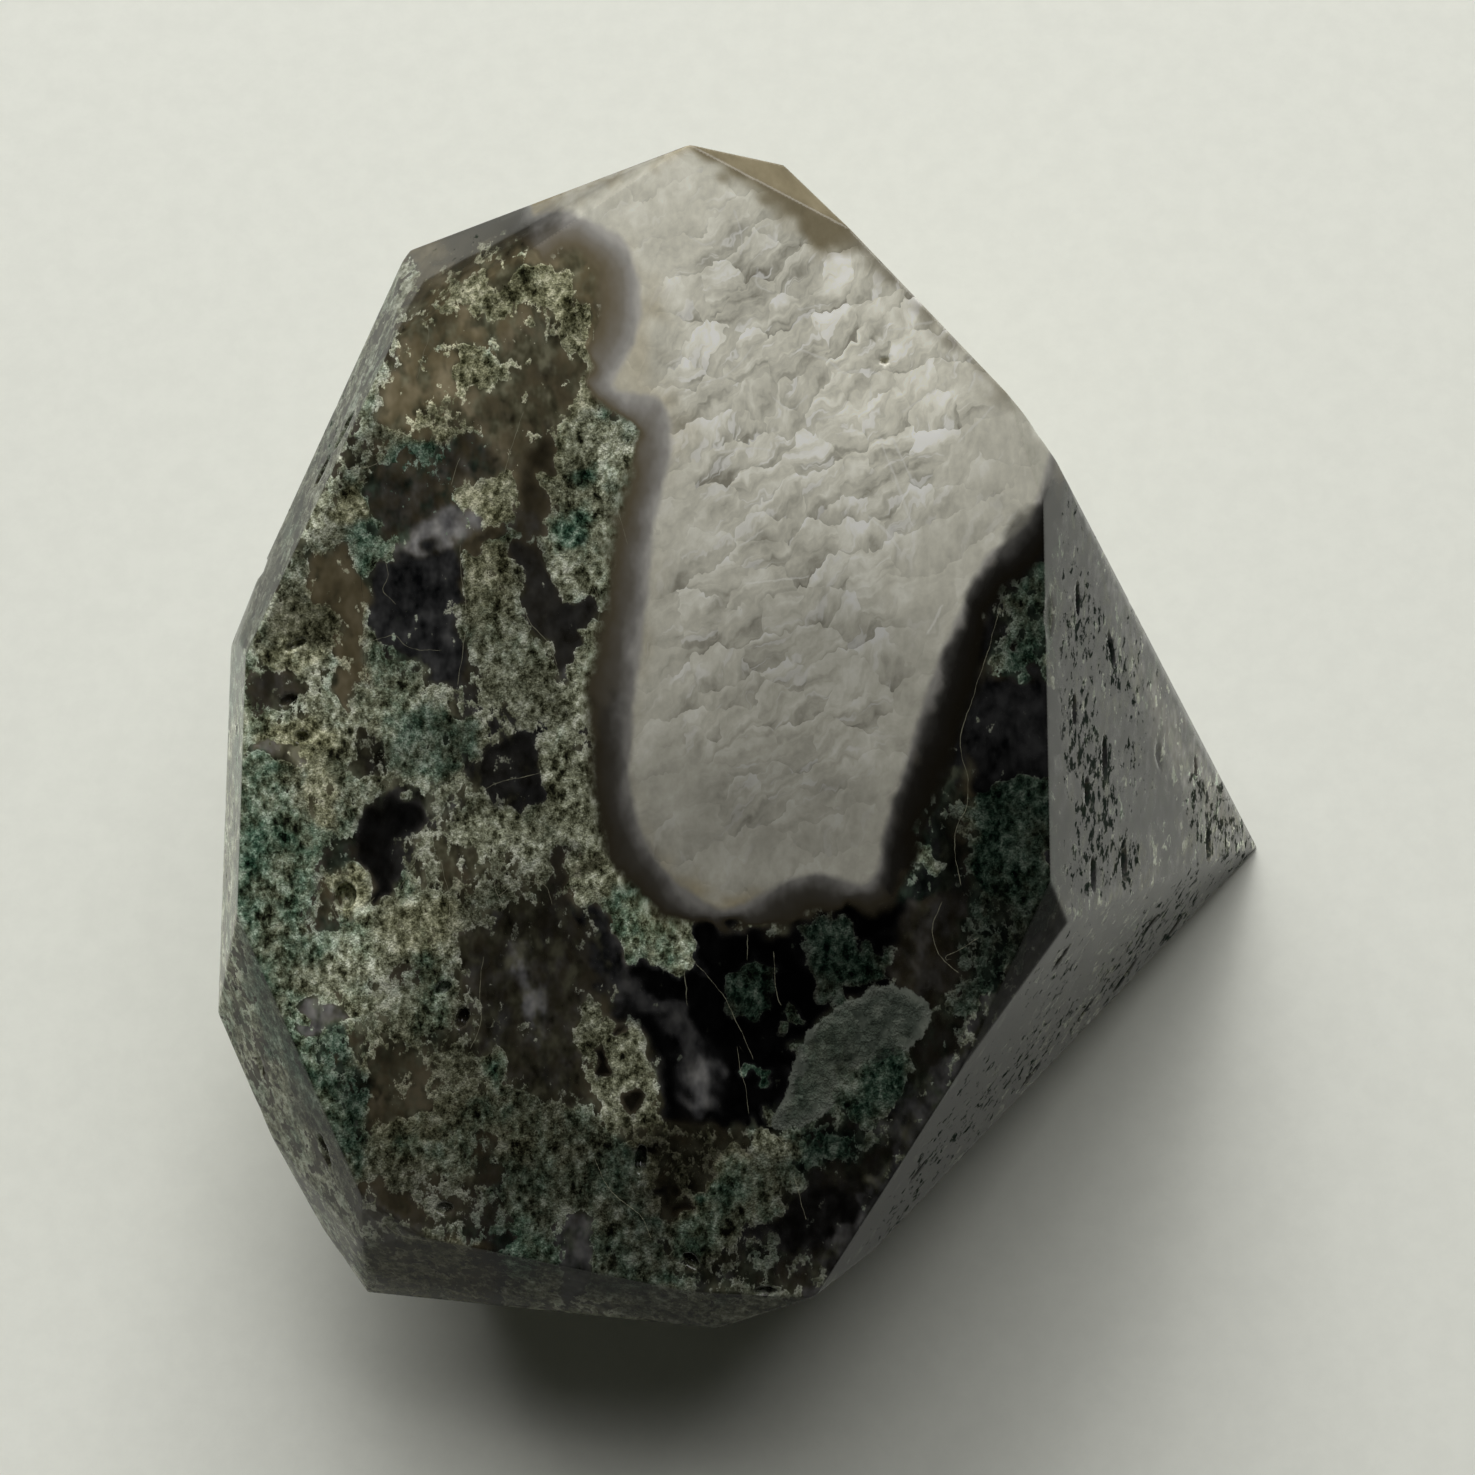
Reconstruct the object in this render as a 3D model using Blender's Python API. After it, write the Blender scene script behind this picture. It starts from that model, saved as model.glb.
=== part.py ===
"""A polished, faceted freeform of moss agate: one solid stone that rests on a flat ground face.

The stone is made the way a lapidary makes it. A rough block is ground flat again and again, each
time square to a direction given by an azimuth and an elevation, until the named faces meet. The
natural cavities that the grinding opened are then sunk into the polished faces.

Units are metres. +Z is up, and the origin is the middle of the stone's outline as seen from above,
on the surface that the stone rests on.
"""

import math

import bmesh
import bpy
from mathutils import Matrix, Vector

MM = 0.001

# Rough block
BLOCK_SIDE = 140 * MM
WELD = 0.1 * MM

# Body colour, linear, of the green and grey stone as a whole
STONE_COLOUR = (0.105, 0.110, 0.085, 1.0)
STONE_ROUGHNESS = 0.12
STONE_IOR = 1.54

# Ground faces: name, azimuth and elevation of the outward normal in degrees, distance from the
# origin in millimetres. Azimuth 0 is +X and 90 is +Y.
FACES = (
    # The display face and the narrow faces round its rim
    ("display_face", -90.0, 70.0, 35.7),
    ("crown_left", 138.5, 56.0, 59.0),
    ("crown_right", 42.5, 66.0, 55.5),
    ("right_shoulder", -2.0, 46.5, 43.3),
    ("right_corner", -40.0, 35.5, 36.4),
    ("left_wedge", -112.5, 40.0, 46.5),
    ("front_lip", -99.5, 19.5, 42.2),
    ("front_lip_right", -92.5, 22.0, 42.4),
    # Steep walls that the display face looks past
    ("right_wall", -10.0, 28.0, 33.6),
    ("right_wall_tip", -7.5, 27.0, 33.9),
    ("front_right_wall", -37.5, 10.5, 27.9),
    ("upper_left_wall", 165.0, 31.5, 51.3),
    ("left_notch_face", 166.0, 22.5, 48.8),
    ("left_wall", -175.0, 18.5, 46.0),
    ("lower_left_wall", -144.5, 28.5, 48.0),
    ("lower_left_corner", -141.5, 14.5, 46.7),
    # Back
    ("crown_back", 108.0, 19.0, 51.9),
    ("back_top", 88.0, -5.0, 32.3),
    ("back", 100.0, -4.0, 36.8),
    ("back_left", 154.0, -2.5, 35.8),
    ("back_right_upper", 42.0, 13.5, 35.8),
    ("back_right_lower", 37.0, 10.0, 33.0),
    # Undercut faces that lead in to the foot
    ("left_under", 176.0, -4.5, 35.5),
    ("left_heel", 170.0, -40.0, 22.4),
    ("left_front_under", -164.0, -24.0, 27.9),
    ("front_corner_under", -146.0, -25.0, 31.2),
    ("front_under", -93.5, -25.0, 25.0),
    ("front_right_under", -64.5, -19.5, 23.0),
    ("right_under", -54.0, -26.5, 17.5),
    ("back_heel", 100.0, -38.0, 18.7),
    ("right_heel", 60.0, -33.0, 19.3),
    ("foot", 0.0, -90.0, 0.0),
)

# Open cavities: the face each lies on, its place across and up that face in millimetres, its
# length, width and depth in millimetres, and how far its length is turned from level in degrees.
CAVITIES = (
    # Round vugs and holes in the display face
    ("display_face", -29.1, 2.0, 1.9, 1.5, 1.3, 80.0),
    ("display_face", -22.5, -4.2, 1.3, 0.8, 0.9, 30.0),
    ("display_face", -21.2, -6.2, 1.5, 0.9, 0.9, 70.0),
    ("display_face", -32.0, 12.7, 1.0, 0.8, 0.7, 0.0),
    ("display_face", -32.9, 15.2, 1.3, 0.7, 0.7, 20.0),
    ("display_face", -32.4, 18.9, 1.6, 0.5, 0.6, 25.0),
    ("display_face", -22.4, -19.0, 1.2, 0.7, 0.6, 0.0),
    ("display_face", -0.8, -24.6, 1.6, 0.6, 0.6, 0.0),
    ("display_face", -5.8, -22.5, 1.3, 0.7, 0.7, -40.0),
    ("display_face", -9.2, -15.7, 1.9, 0.8, 0.9, 85.0),
    ("display_face", 7.2, 38.0, 0.6, 0.5, 0.5, 0.0),
    # A lens-shaped bite out of the edge between the display face and the right wall
    ("display_face", 18.9, 21.1, 5.6, 1.9, 1.2, 88.0),
    # Grooves that follow the banding across the right wall and its tip
    ("right_wall", 13.8, 23.5, 2.4, 0.6, 0.35, 22.0),
    ("right_wall", 13.0, 16.7, 2.8, 0.7, 0.4, 48.0),
    ("right_wall", 6.4, 21.4, 2.2, 0.6, 0.35, 20.0),
    ("right_wall", 5.2, 15.2, 3.4, 0.8, 0.4, 22.0),
    ("right_wall", 1.9, 17.4, 2.2, 0.7, 0.35, 18.0),
    ("right_wall", -0.3, 9.4, 3.0, 1.0, 0.4, 24.0),
    ("right_wall", -3.1, 14.4, 2.6, 0.8, 0.35, 26.0),
    ("right_wall_tip", 8.1, 6.1, 2.4, 0.6, 0.4, 34.0),
    ("right_wall_tip", 5.3, -5.8, 2.6, 0.9, 0.4, 18.0),
    ("right_wall_tip", 10.0, -1.7, 2.2, 0.5, 0.3, 24.0),
    # Nearly level grooves along the front right wall
    ("front_right_wall", 8.9, 4.6, 3.6, 0.8, 0.4, 4.0),
    ("front_right_wall", 3.9, 8.0, 2.6, 0.6, 0.35, 0.0),
    ("front_right_wall", 12.3, 7.7, 2.4, 0.6, 0.35, -6.0),
    ("front_right_wall", 15.3, 1.2, 2.8, 0.6, 0.35, 2.0),
    ("front_right_wall", -2.9, 9.5, 3.0, 0.6, 0.35, 0.0),
    ("front_right_wall", 2.0, 22.4, 2.4, 0.6, 0.3, 6.0),
    ("front_right_wall", -15.3, 18.6, 2.2, 0.5, 0.3, 0.0),
    # Slanting grooves on the left walls
    ("upper_left_wall", -11.5, 19.7, 3.0, 0.8, 0.35, -27.0),
    ("upper_left_wall", -8.8, 18.0, 2.4, 0.7, 0.35, -24.0),
    ("lower_left_wall", 3.4, 4.3, 2.6, 0.7, 0.35, -32.0),
    ("lower_left_wall", -4.5, 3.6, 2.0, 0.6, 0.3, -30.0),
)
CAVITY_RINGS = 8
CAVITY_SEGMENTS = 12

NICK_CENTRE = (-35.7, 12.7, 36.6)
NICK_SIZE = 1.6


def clear_scene():
    """Removes every object that the file starts with."""
    for item in list(bpy.data.objects):
        bpy.data.objects.remove(item)


def direction(azimuth, elevation):
    """Unit vector that points to an azimuth and an elevation in degrees."""
    turn = math.radians(azimuth)
    rise = math.radians(elevation)
    level = math.cos(rise)
    return Vector((level * math.cos(turn), level * math.sin(turn), math.sin(rise)))


def face_axes(azimuth, elevation):
    """Axes of a ground face: level across it, up it, and out of it."""
    out = direction(azimuth, elevation)
    across = Vector((0.0, 0.0, 1.0)).cross(out).normalized()
    return across, out.cross(across), out


def grind(stone, azimuth, elevation, distance):
    """Takes away what lies past one plane and closes the stone there with a flat face."""
    normal = direction(azimuth, elevation)
    everything = stone.verts[:] + stone.edges[:] + stone.faces[:]
    cut = bmesh.ops.bisect_plane(
        stone, geom=everything, plane_co=normal * distance, plane_no=normal, clear_outer=True
    )
    rim = [item for item in cut["geom_cut"] if isinstance(item, bmesh.types.BMEdge)]
    if rim:
        bmesh.ops.contextual_create(stone, geom=rim)


def ground_stone():
    """The block ground to its faces, as a mesh object."""
    stone = bmesh.new()
    bmesh.ops.create_cube(stone, size=BLOCK_SIDE)
    for _, azimuth, elevation, distance in FACES:
        grind(stone, azimuth, elevation, distance * MM)
    bmesh.ops.remove_doubles(stone, verts=stone.verts[:], dist=WELD)
    bmesh.ops.dissolve_degenerate(stone, edges=stone.edges[:], dist=WELD)
    bmesh.ops.triangulate(stone, faces=[face for face in stone.faces if len(face.verts) > 3])
    bmesh.ops.recalc_face_normals(stone, faces=stone.faces[:])
    return mesh_object("moss_agate_stone", stone)


def add_lens(tools, centre, axes, lengths):
    """Adds one closed ellipsoid, with its three axes and full lengths, to the cutting mesh."""
    turned = Matrix((axes[0], axes[1], axes[2])).transposed().to_4x4()
    sized = Matrix.Diagonal((lengths[0] / 2, lengths[1] / 2, lengths[2] / 2, 1.0))
    bmesh.ops.create_uvsphere(
        tools,
        u_segments=CAVITY_SEGMENTS,
        v_segments=CAVITY_RINGS,
        radius=1.0,
        matrix=Matrix.Translation(centre) @ turned @ sized,
    )


def cavity_tools():
    """One hidden object that holds the solid shape of every cavity."""
    tools = bmesh.new()
    planes = {name: values for name, *values in FACES}
    for face, across_mm, up_mm, length, width, depth, turn in CAVITIES:
        azimuth, elevation, distance = planes[face]
        across, up, out = face_axes(azimuth, elevation)
        centre = out * (distance * MM) + across * (across_mm * MM) + up * (up_mm * MM)
        spin = Matrix.Rotation(math.radians(turn), 3, out)
        lengths = (length * MM, width * MM, 2 * depth * MM)
        add_lens(tools, centre, (spin @ across, spin @ up, out), lengths)
    axes = (Vector((1, 0, 0)), Vector((0, 1, 0)), Vector((0, 0, 1)))
    add_lens(tools, Vector(NICK_CENTRE) * MM, axes, (NICK_SIZE * MM,) * 3)
    cutter = mesh_object("cavity_tools", tools)
    cutter.hide_render = True
    cutter.display_type = "WIRE"
    return cutter


def mesh_object(name, shape):
    """Links a new object that holds the finished bmesh, and frees the bmesh."""
    mesh = bpy.data.meshes.new(name)
    shape.to_mesh(mesh)
    shape.free()
    item = bpy.data.objects.new(name, mesh)
    bpy.context.scene.collection.objects.link(item)
    return item


def stone_material():
    """Polished stone in the agate's own dark green grey."""
    material = bpy.data.materials.new("polished_moss_agate")
    material.use_nodes = True
    shader = material.node_tree.nodes["Principled BSDF"]
    shader.inputs["Base Color"].default_value = STONE_COLOUR
    shader.inputs["Roughness"].default_value = STONE_ROUGHNESS
    shader.inputs["Metallic"].default_value = 0.0
    shader.inputs["IOR"].default_value = STONE_IOR
    material.diffuse_color = STONE_COLOUR
    return material


def sink_cavities(stone, cutter):
    """Sinks the cavities into the stone with one exact Boolean difference."""
    cut = stone.modifiers.new("cavities", "BOOLEAN")
    cut.operation = "DIFFERENCE"
    cut.solver = "EXACT"
    cut.object = cutter


def main():
    """Builds the stone."""
    clear_scene()
    stone = ground_stone()
    stone.data.materials.append(stone_material())
    sink_cavities(stone, cavity_tools())


main()
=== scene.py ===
"""A polished freeform of moss agate on a pale table, seen from above as in the photograph.

The stone is one piece. Its surface is worked out here from the same ground faces as the solid: each
face is a grid of two parameters, level across the face and up it, trimmed to the face's outline. The
moss, the crystal quartz and the clear chalcedony are only colour, so they are fields of numbers on the
surface that the finish reads. Lengths are millimetres until a mesh is made, and metres there.
"""

from __future__ import annotations

import functools
import itertools
import logging
import math
from dataclasses import dataclass
from enum import Enum

import bpy
import numpy as np
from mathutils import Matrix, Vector
from mathutils.geometry import delaunay_2d_cdt


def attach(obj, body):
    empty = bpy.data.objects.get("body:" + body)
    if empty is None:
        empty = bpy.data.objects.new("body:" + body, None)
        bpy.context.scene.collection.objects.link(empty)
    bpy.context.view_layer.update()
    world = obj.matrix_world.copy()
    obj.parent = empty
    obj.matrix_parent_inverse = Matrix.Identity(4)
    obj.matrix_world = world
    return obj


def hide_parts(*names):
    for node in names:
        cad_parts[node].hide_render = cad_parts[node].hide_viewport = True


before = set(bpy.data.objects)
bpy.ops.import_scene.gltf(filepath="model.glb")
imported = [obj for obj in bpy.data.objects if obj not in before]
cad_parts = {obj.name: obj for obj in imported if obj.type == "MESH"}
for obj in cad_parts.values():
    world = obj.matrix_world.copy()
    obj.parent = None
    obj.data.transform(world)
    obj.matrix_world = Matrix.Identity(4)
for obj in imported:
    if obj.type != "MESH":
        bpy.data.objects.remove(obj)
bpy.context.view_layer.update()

LOG = logging.getLogger("moss_agate")
MM = 0.001
PIECE = "moss_agate_stone"

# Waves in a ripple, short lines in a curve's span, pairs measured at once, and a length of almost 0
RIPPLE_WAVES = 9
CURVE_STEPS = 3
PAIRS_AT_ONCE = 1_500_000
NO_LENGTH = 1e-12

Outline = tuple[tuple[float, float], ...]
Triple = tuple[float, float, float]
Sockets = bpy.types.NodeSocket


def display_colour(red: float, green: float, blue: float) -> tuple[float, float, float, float]:
    """Turns a colour as a screen shows it, 0 to 255, into linear light.

    Args:
        red, green, blue: Screen values.

    Returns:
        Linear red, green, blue and an alpha of 1.
    """
    shares = np.array([red, green, blue]) / 255.0
    light = np.where(shares <= 0.04045, shares / 12.92, ((shares + 0.055) / 1.055) ** 2.4)
    return (*light.tolist(), 1.0)


def direction(azimuth: float, elevation: float) -> np.ndarray:
    """Unit vector (cos e cos a, cos e sin a, sin e) for an azimuth a and an elevation e in degrees."""
    turn, rise = math.radians(azimuth), math.radians(elevation)
    return np.array([math.cos(rise) * math.cos(turn), math.cos(rise) * math.sin(turn), math.sin(rise)])


def ease(values: np.ndarray, low: float, high: float) -> np.ndarray:
    """Smooth step from 0 at low to 1 at high: 3 t squared minus 2 t cubed."""
    share = np.clip((values - low) / (high - low), 0.0, 1.0)
    return share * share * (3.0 - 2.0 * share)


def ripple(points: np.ndarray, wavelength: float, seed: int) -> np.ndarray:
    """Smooth random field between about -1 and 1: plane sine waves in random directions, added up.

    Args:
        points: Places, one row each.
        wavelength: Middle wavelength in millimetres.
        seed: Seed of the directions and phases.

    Returns:
        One value for each point.
    """
    draw = np.random.default_rng(seed)
    heads = draw.normal(size=(RIPPLE_WAVES, points.shape[1]))
    heads /= np.linalg.norm(heads, axis=1, keepdims=True)
    heads *= (2.0 * np.pi / wavelength) * draw.uniform(0.6, 1.6, (RIPPLE_WAVES, 1))
    phases = draw.uniform(0.0, 2.0 * np.pi, RIPPLE_WAVES)
    return np.sin(points @ heads.T + phases).sum(axis=1) / math.sqrt(RIPPLE_WAVES)


@dataclass(frozen=True)
class PhotoView:
    """The camera of the photograph, and where its pixels fall on the stone."""

    target: Triple = (-2.70, -0.34, 37.9)
    elevation: float = 70.0
    distance: float = 195.0
    focal_pixels: float = 2900.0
    frame_pixels: float = 1475.0
    sensor: float = 36.0
    nearest: float = 10.0
    farthest: float = 20000.0

    @property
    def back(self) -> np.ndarray:
        """Unit vector from the stone to the camera."""
        return direction(-90.0, self.elevation)

    @property
    def place(self) -> np.ndarray:
        """Where the camera stands, in millimetres."""
        return np.array(self.target) + self.distance * self.back

    @property
    def millimetres_per_pixel(self) -> float:
        """Size of one pixel on the display face."""
        return self.distance / self.focal_pixels

    def pixels(self, points: np.ndarray) -> np.ndarray:
        """Pixel of each point: focal length times sideways offset over depth, from the middle.

        Args:
            points: Places in millimetres, one row each.

        Returns:
            Across and down in pixels, one row each.
        """
        right = np.array([1.0, 0.0, 0.0])
        up = np.cross(self.back, right)
        offset = points - self.place
        depth = -(offset @ self.back)
        middle = self.frame_pixels / 2
        across = middle + self.focal_pixels * (offset @ right) / depth
        down = middle - self.focal_pixels * (offset @ up) / depth
        return np.stack([across, down], axis=1)

    def set_camera(self) -> None:
        """Makes the camera, which looks down at the display face."""
        data = bpy.data.cameras.new("photo_camera")
        data.sensor_width = self.sensor
        data.lens = self.focal_pixels * self.sensor / self.frame_pixels
        data.clip_start = self.nearest * MM
        data.clip_end = self.farthest * MM
        camera = bpy.data.objects.new("photo_camera", data)
        camera.location = self.place * MM
        camera.rotation_euler = (math.radians(90.0 - self.elevation), 0.0, 0.0)
        bpy.context.scene.collection.objects.link(camera)
        bpy.context.scene.camera = camera


class Grain(Enum):
    """Distance between surface points, in millimetres, by how closely a face is seen."""

    DISPLAY = 0.27
    RIM = 0.34
    WALL = 0.46
    BACK = 0.8
    UNDER = 1.1


@dataclass(frozen=True)
class GroundFace:
    """One ground face: its outward direction in degrees, its distance from the origin, a factor on its colour
    that is painted light and shade, brightening or darkening the face as a whole, and its gloss."""

    grain: Grain
    name: str
    azimuth: float
    elevation: float
    distance: float
    painted_light_factor: float = 1.0
    gloss: float = 1.0

    @property
    def out(self) -> np.ndarray:
        """Outward unit normal."""
        return direction(self.azimuth, self.elevation)

    @property
    def axes(self) -> tuple[np.ndarray, np.ndarray]:
        """Unit vectors level across the face and up it."""
        turn = math.radians(self.azimuth)
        across = np.array([-math.sin(turn), math.cos(turn), 0.0])
        return across, np.cross(self.out, across)


@dataclass(frozen=True)
class Cavity:
    """An open hollow: half an ellipsoid sunk into a face at a place across and up it."""

    face: str
    across: float
    up: float
    length: float
    width: float
    depth: float
    turn: float

    def frame(self, face: GroundFace) -> tuple[np.ndarray, np.ndarray]:
        """Finds where the hollow lies.

        Args:
            face: The face that it is sunk into.

        Returns:
            The middle of its mouth, and its axes along, beside and out as rows.
        """
        across, up = face.axes
        turn = math.radians(self.turn)
        along = math.cos(turn) * across + math.sin(turn) * up
        beside = math.cos(turn) * up - math.sin(turn) * across
        centre = face.out * face.distance + self.across * across + self.up * up
        return centre, np.stack([along, beside, face.out])

    def local(self, points: np.ndarray, face: GroundFace) -> tuple[np.ndarray, np.ndarray]:
        """Measures points from the hollow's mouth.

        Args:
            points: Places, one row each.
            face: The face that the hollow is sunk into.

        Returns:
            The points along the hollow's own axes, and how far out each is: 0 in the middle of the
            mouth and 1 on its rim.
        """
        centre, axes = self.frame(face)
        local = (points - centre) @ axes.T
        return local, np.hypot(local[:, 0] / (self.length / 2), local[:, 1] / (self.width / 2))

    def sink(self, points: np.ndarray, face: GroundFace, below: float = 2.0) -> np.ndarray:
        """Lowers points inside the mouth to the hollow's floor, -depth times sqrt(1 - reach squared).

        Args:
            points: Places, one row each.
            face: The face that the hollow is sunk into.
            below: How far under twice the hollow's depth points are left alone, as another face's.

        Returns:
            The moved points.
        """
        centre, axes = self.frame(face)
        local, reach = self.local(points, face)
        floor = -self.depth * np.sqrt(np.clip(1.0 - reach * reach, 0.0, None))
        inside = (reach < 1.0) & (local[:, 2] > floor) & (local[:, 2] > -2.0 * self.depth - below)
        local[:, 2] = np.where(inside, floor, local[:, 2])
        return centre + local @ axes


# Rows by grain: name, azimuth, elevation and distance, then the painted light factor, which is painted shade
# or light on the face's colour, and the gloss
FACE_ROWS = {
    Grain.DISPLAY: (
        ("display_face", -90.0, 70.0, 35.7),
    ),
    Grain.RIM: (
        ("crown_left", 138.5, 56.0, 59.0, 0.3, 0.9),
        ("crown_right", 42.5, 66.0, 55.5, 0.8),
        ("right_shoulder", -2.0, 46.5, 43.3, 0.7),
        ("right_corner", -40.0, 35.5, 36.4, 0.35, 0.25),
        ("left_wedge", -112.5, 40.0, 46.5, 0.6, 0.7),
        ("front_lip", -99.5, 19.5, 42.2, 0.5, 0.35),
        ("front_lip_right", -92.5, 22.0, 42.4, 0.5, 0.35),
    ),
    Grain.WALL: (
        ("right_wall", -10.0, 28.0, 33.6, 0.75),
        ("right_wall_tip", -7.5, 27.0, 33.9, 1.5),
        ("front_right_wall", -37.5, 10.5, 27.9, 0.35, 0.8),
        ("upper_left_wall", 165.0, 31.5, 51.3, 0.3, 0.66),
        ("left_notch_face", 166.0, 22.5, 48.8, 0.25, 0.68),
        ("left_wall", -175.0, 18.5, 46.0, 0.7, 0.9),
        ("lower_left_wall", -144.5, 28.5, 48.0, 0.6, 0.65),
        ("lower_left_corner", -141.5, 14.5, 46.7, 0.6, 0.65),
    ),
    Grain.BACK: (
        ("crown_back", 108.0, 19.0, 51.9, 0.5),
        ("back_top", 88.0, -5.0, 32.3, 0.5),
        ("back", 100.0, -4.0, 36.8, 0.5),
        ("back_left", 154.0, -2.5, 35.8, 0.5),
        ("back_right_upper", 42.0, 13.5, 35.8, 0.6),
        ("back_right_lower", 37.0, 10.0, 33.0, 0.6),
        ("left_under", 176.0, -4.5, 35.5, 0.6),
    ),
    Grain.UNDER: (
        ("left_heel", 170.0, -40.0, 22.4),
        ("left_front_under", -164.0, -24.0, 27.9),
        ("front_corner_under", -146.0, -25.0, 31.2),
        ("front_under", -93.5, -25.0, 25.0),
        ("front_right_under", -64.5, -19.5, 23.0),
        ("right_under", -54.0, -26.5, 17.5),
        ("back_heel", 100.0, -38.0, 18.7),
        ("right_heel", 60.0, -33.0, 19.3),
        ("foot", 0.0, -90.0, 0.0),
    ),
}
FACES = tuple(GroundFace(grain, *row) for grain, rows in FACE_ROWS.items() for row in rows)

# Rows by face: place across and up it, length, width and depth, then the turn in degrees
CAVITY_ROWS = {
    "display_face": (
        (-29.1, 2.0, 1.9, 1.5, 1.3, 80.0),
        (-22.5, -4.2, 1.3, 0.8, 0.9, 30.0),
        (-21.2, -6.2, 1.5, 0.9, 0.9, 70.0),
        (-32.0, 12.7, 1.0, 0.8, 0.7, 0.0),
        (-32.9, 15.2, 1.3, 0.7, 0.7, 20.0),
        (-32.4, 18.9, 1.6, 0.5, 0.6, 25.0),
        (-22.4, -19.0, 1.2, 0.7, 0.6, 0.0),
        (-0.8, -24.6, 1.6, 0.6, 0.6, 0.0),
        (-5.8, -22.5, 1.3, 0.7, 0.7, -40.0),
        (-9.2, -15.7, 1.9, 0.8, 0.9, 85.0),
        (7.2, 38.0, 0.6, 0.5, 0.5, 0.0),
        (18.9, 21.1, 5.6, 1.9, 1.2, 88.0),
    ),
    "right_wall": (
        (13.8, 23.5, 2.4, 0.6, 0.35, 22.0),
        (13.0, 16.7, 2.8, 0.7, 0.4, 48.0),
        (6.4, 21.4, 2.2, 0.6, 0.35, 20.0),
        (5.2, 15.2, 3.4, 0.8, 0.4, 22.0),
        (1.9, 17.4, 2.2, 0.7, 0.35, 18.0),
        (-0.3, 9.4, 3.0, 1.0, 0.4, 24.0),
        (-3.1, 14.4, 2.6, 0.8, 0.35, 26.0),
    ),
    "right_wall_tip": (
        (8.1, 6.1, 2.4, 0.6, 0.4, 34.0),
        (5.3, -5.8, 2.6, 0.9, 0.4, 18.0),
        (10.0, -1.7, 2.2, 0.5, 0.3, 24.0),
    ),
    "front_right_wall": (
        (8.9, 4.6, 3.6, 0.8, 0.4, 4.0),
        (3.9, 8.0, 2.6, 0.6, 0.35, 0.0),
        (12.3, 7.7, 2.4, 0.6, 0.35, -6.0),
        (15.3, 1.2, 2.8, 0.6, 0.35, 2.0),
        (-2.9, 9.5, 3.0, 0.6, 0.35, 0.0),
        (2.0, 22.4, 2.4, 0.6, 0.3, 6.0),
        (-15.3, 18.6, 2.2, 0.5, 0.3, 0.0),
    ),
    "upper_left_wall": (
        (-11.5, 19.7, 3.0, 0.8, 0.35, -27.0),
        (-8.8, 18.0, 2.4, 0.7, 0.35, -24.0),
    ),
    "lower_left_wall": (
        (3.4, 4.3, 2.6, 0.7, 0.35, -32.0),
        (-4.5, 3.6, 2.0, 0.6, 0.3, -30.0),
    ),
}
CAVITIES = tuple(Cavity(face, *row) for face, rows in CAVITY_ROWS.items() for row in rows)


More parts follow.
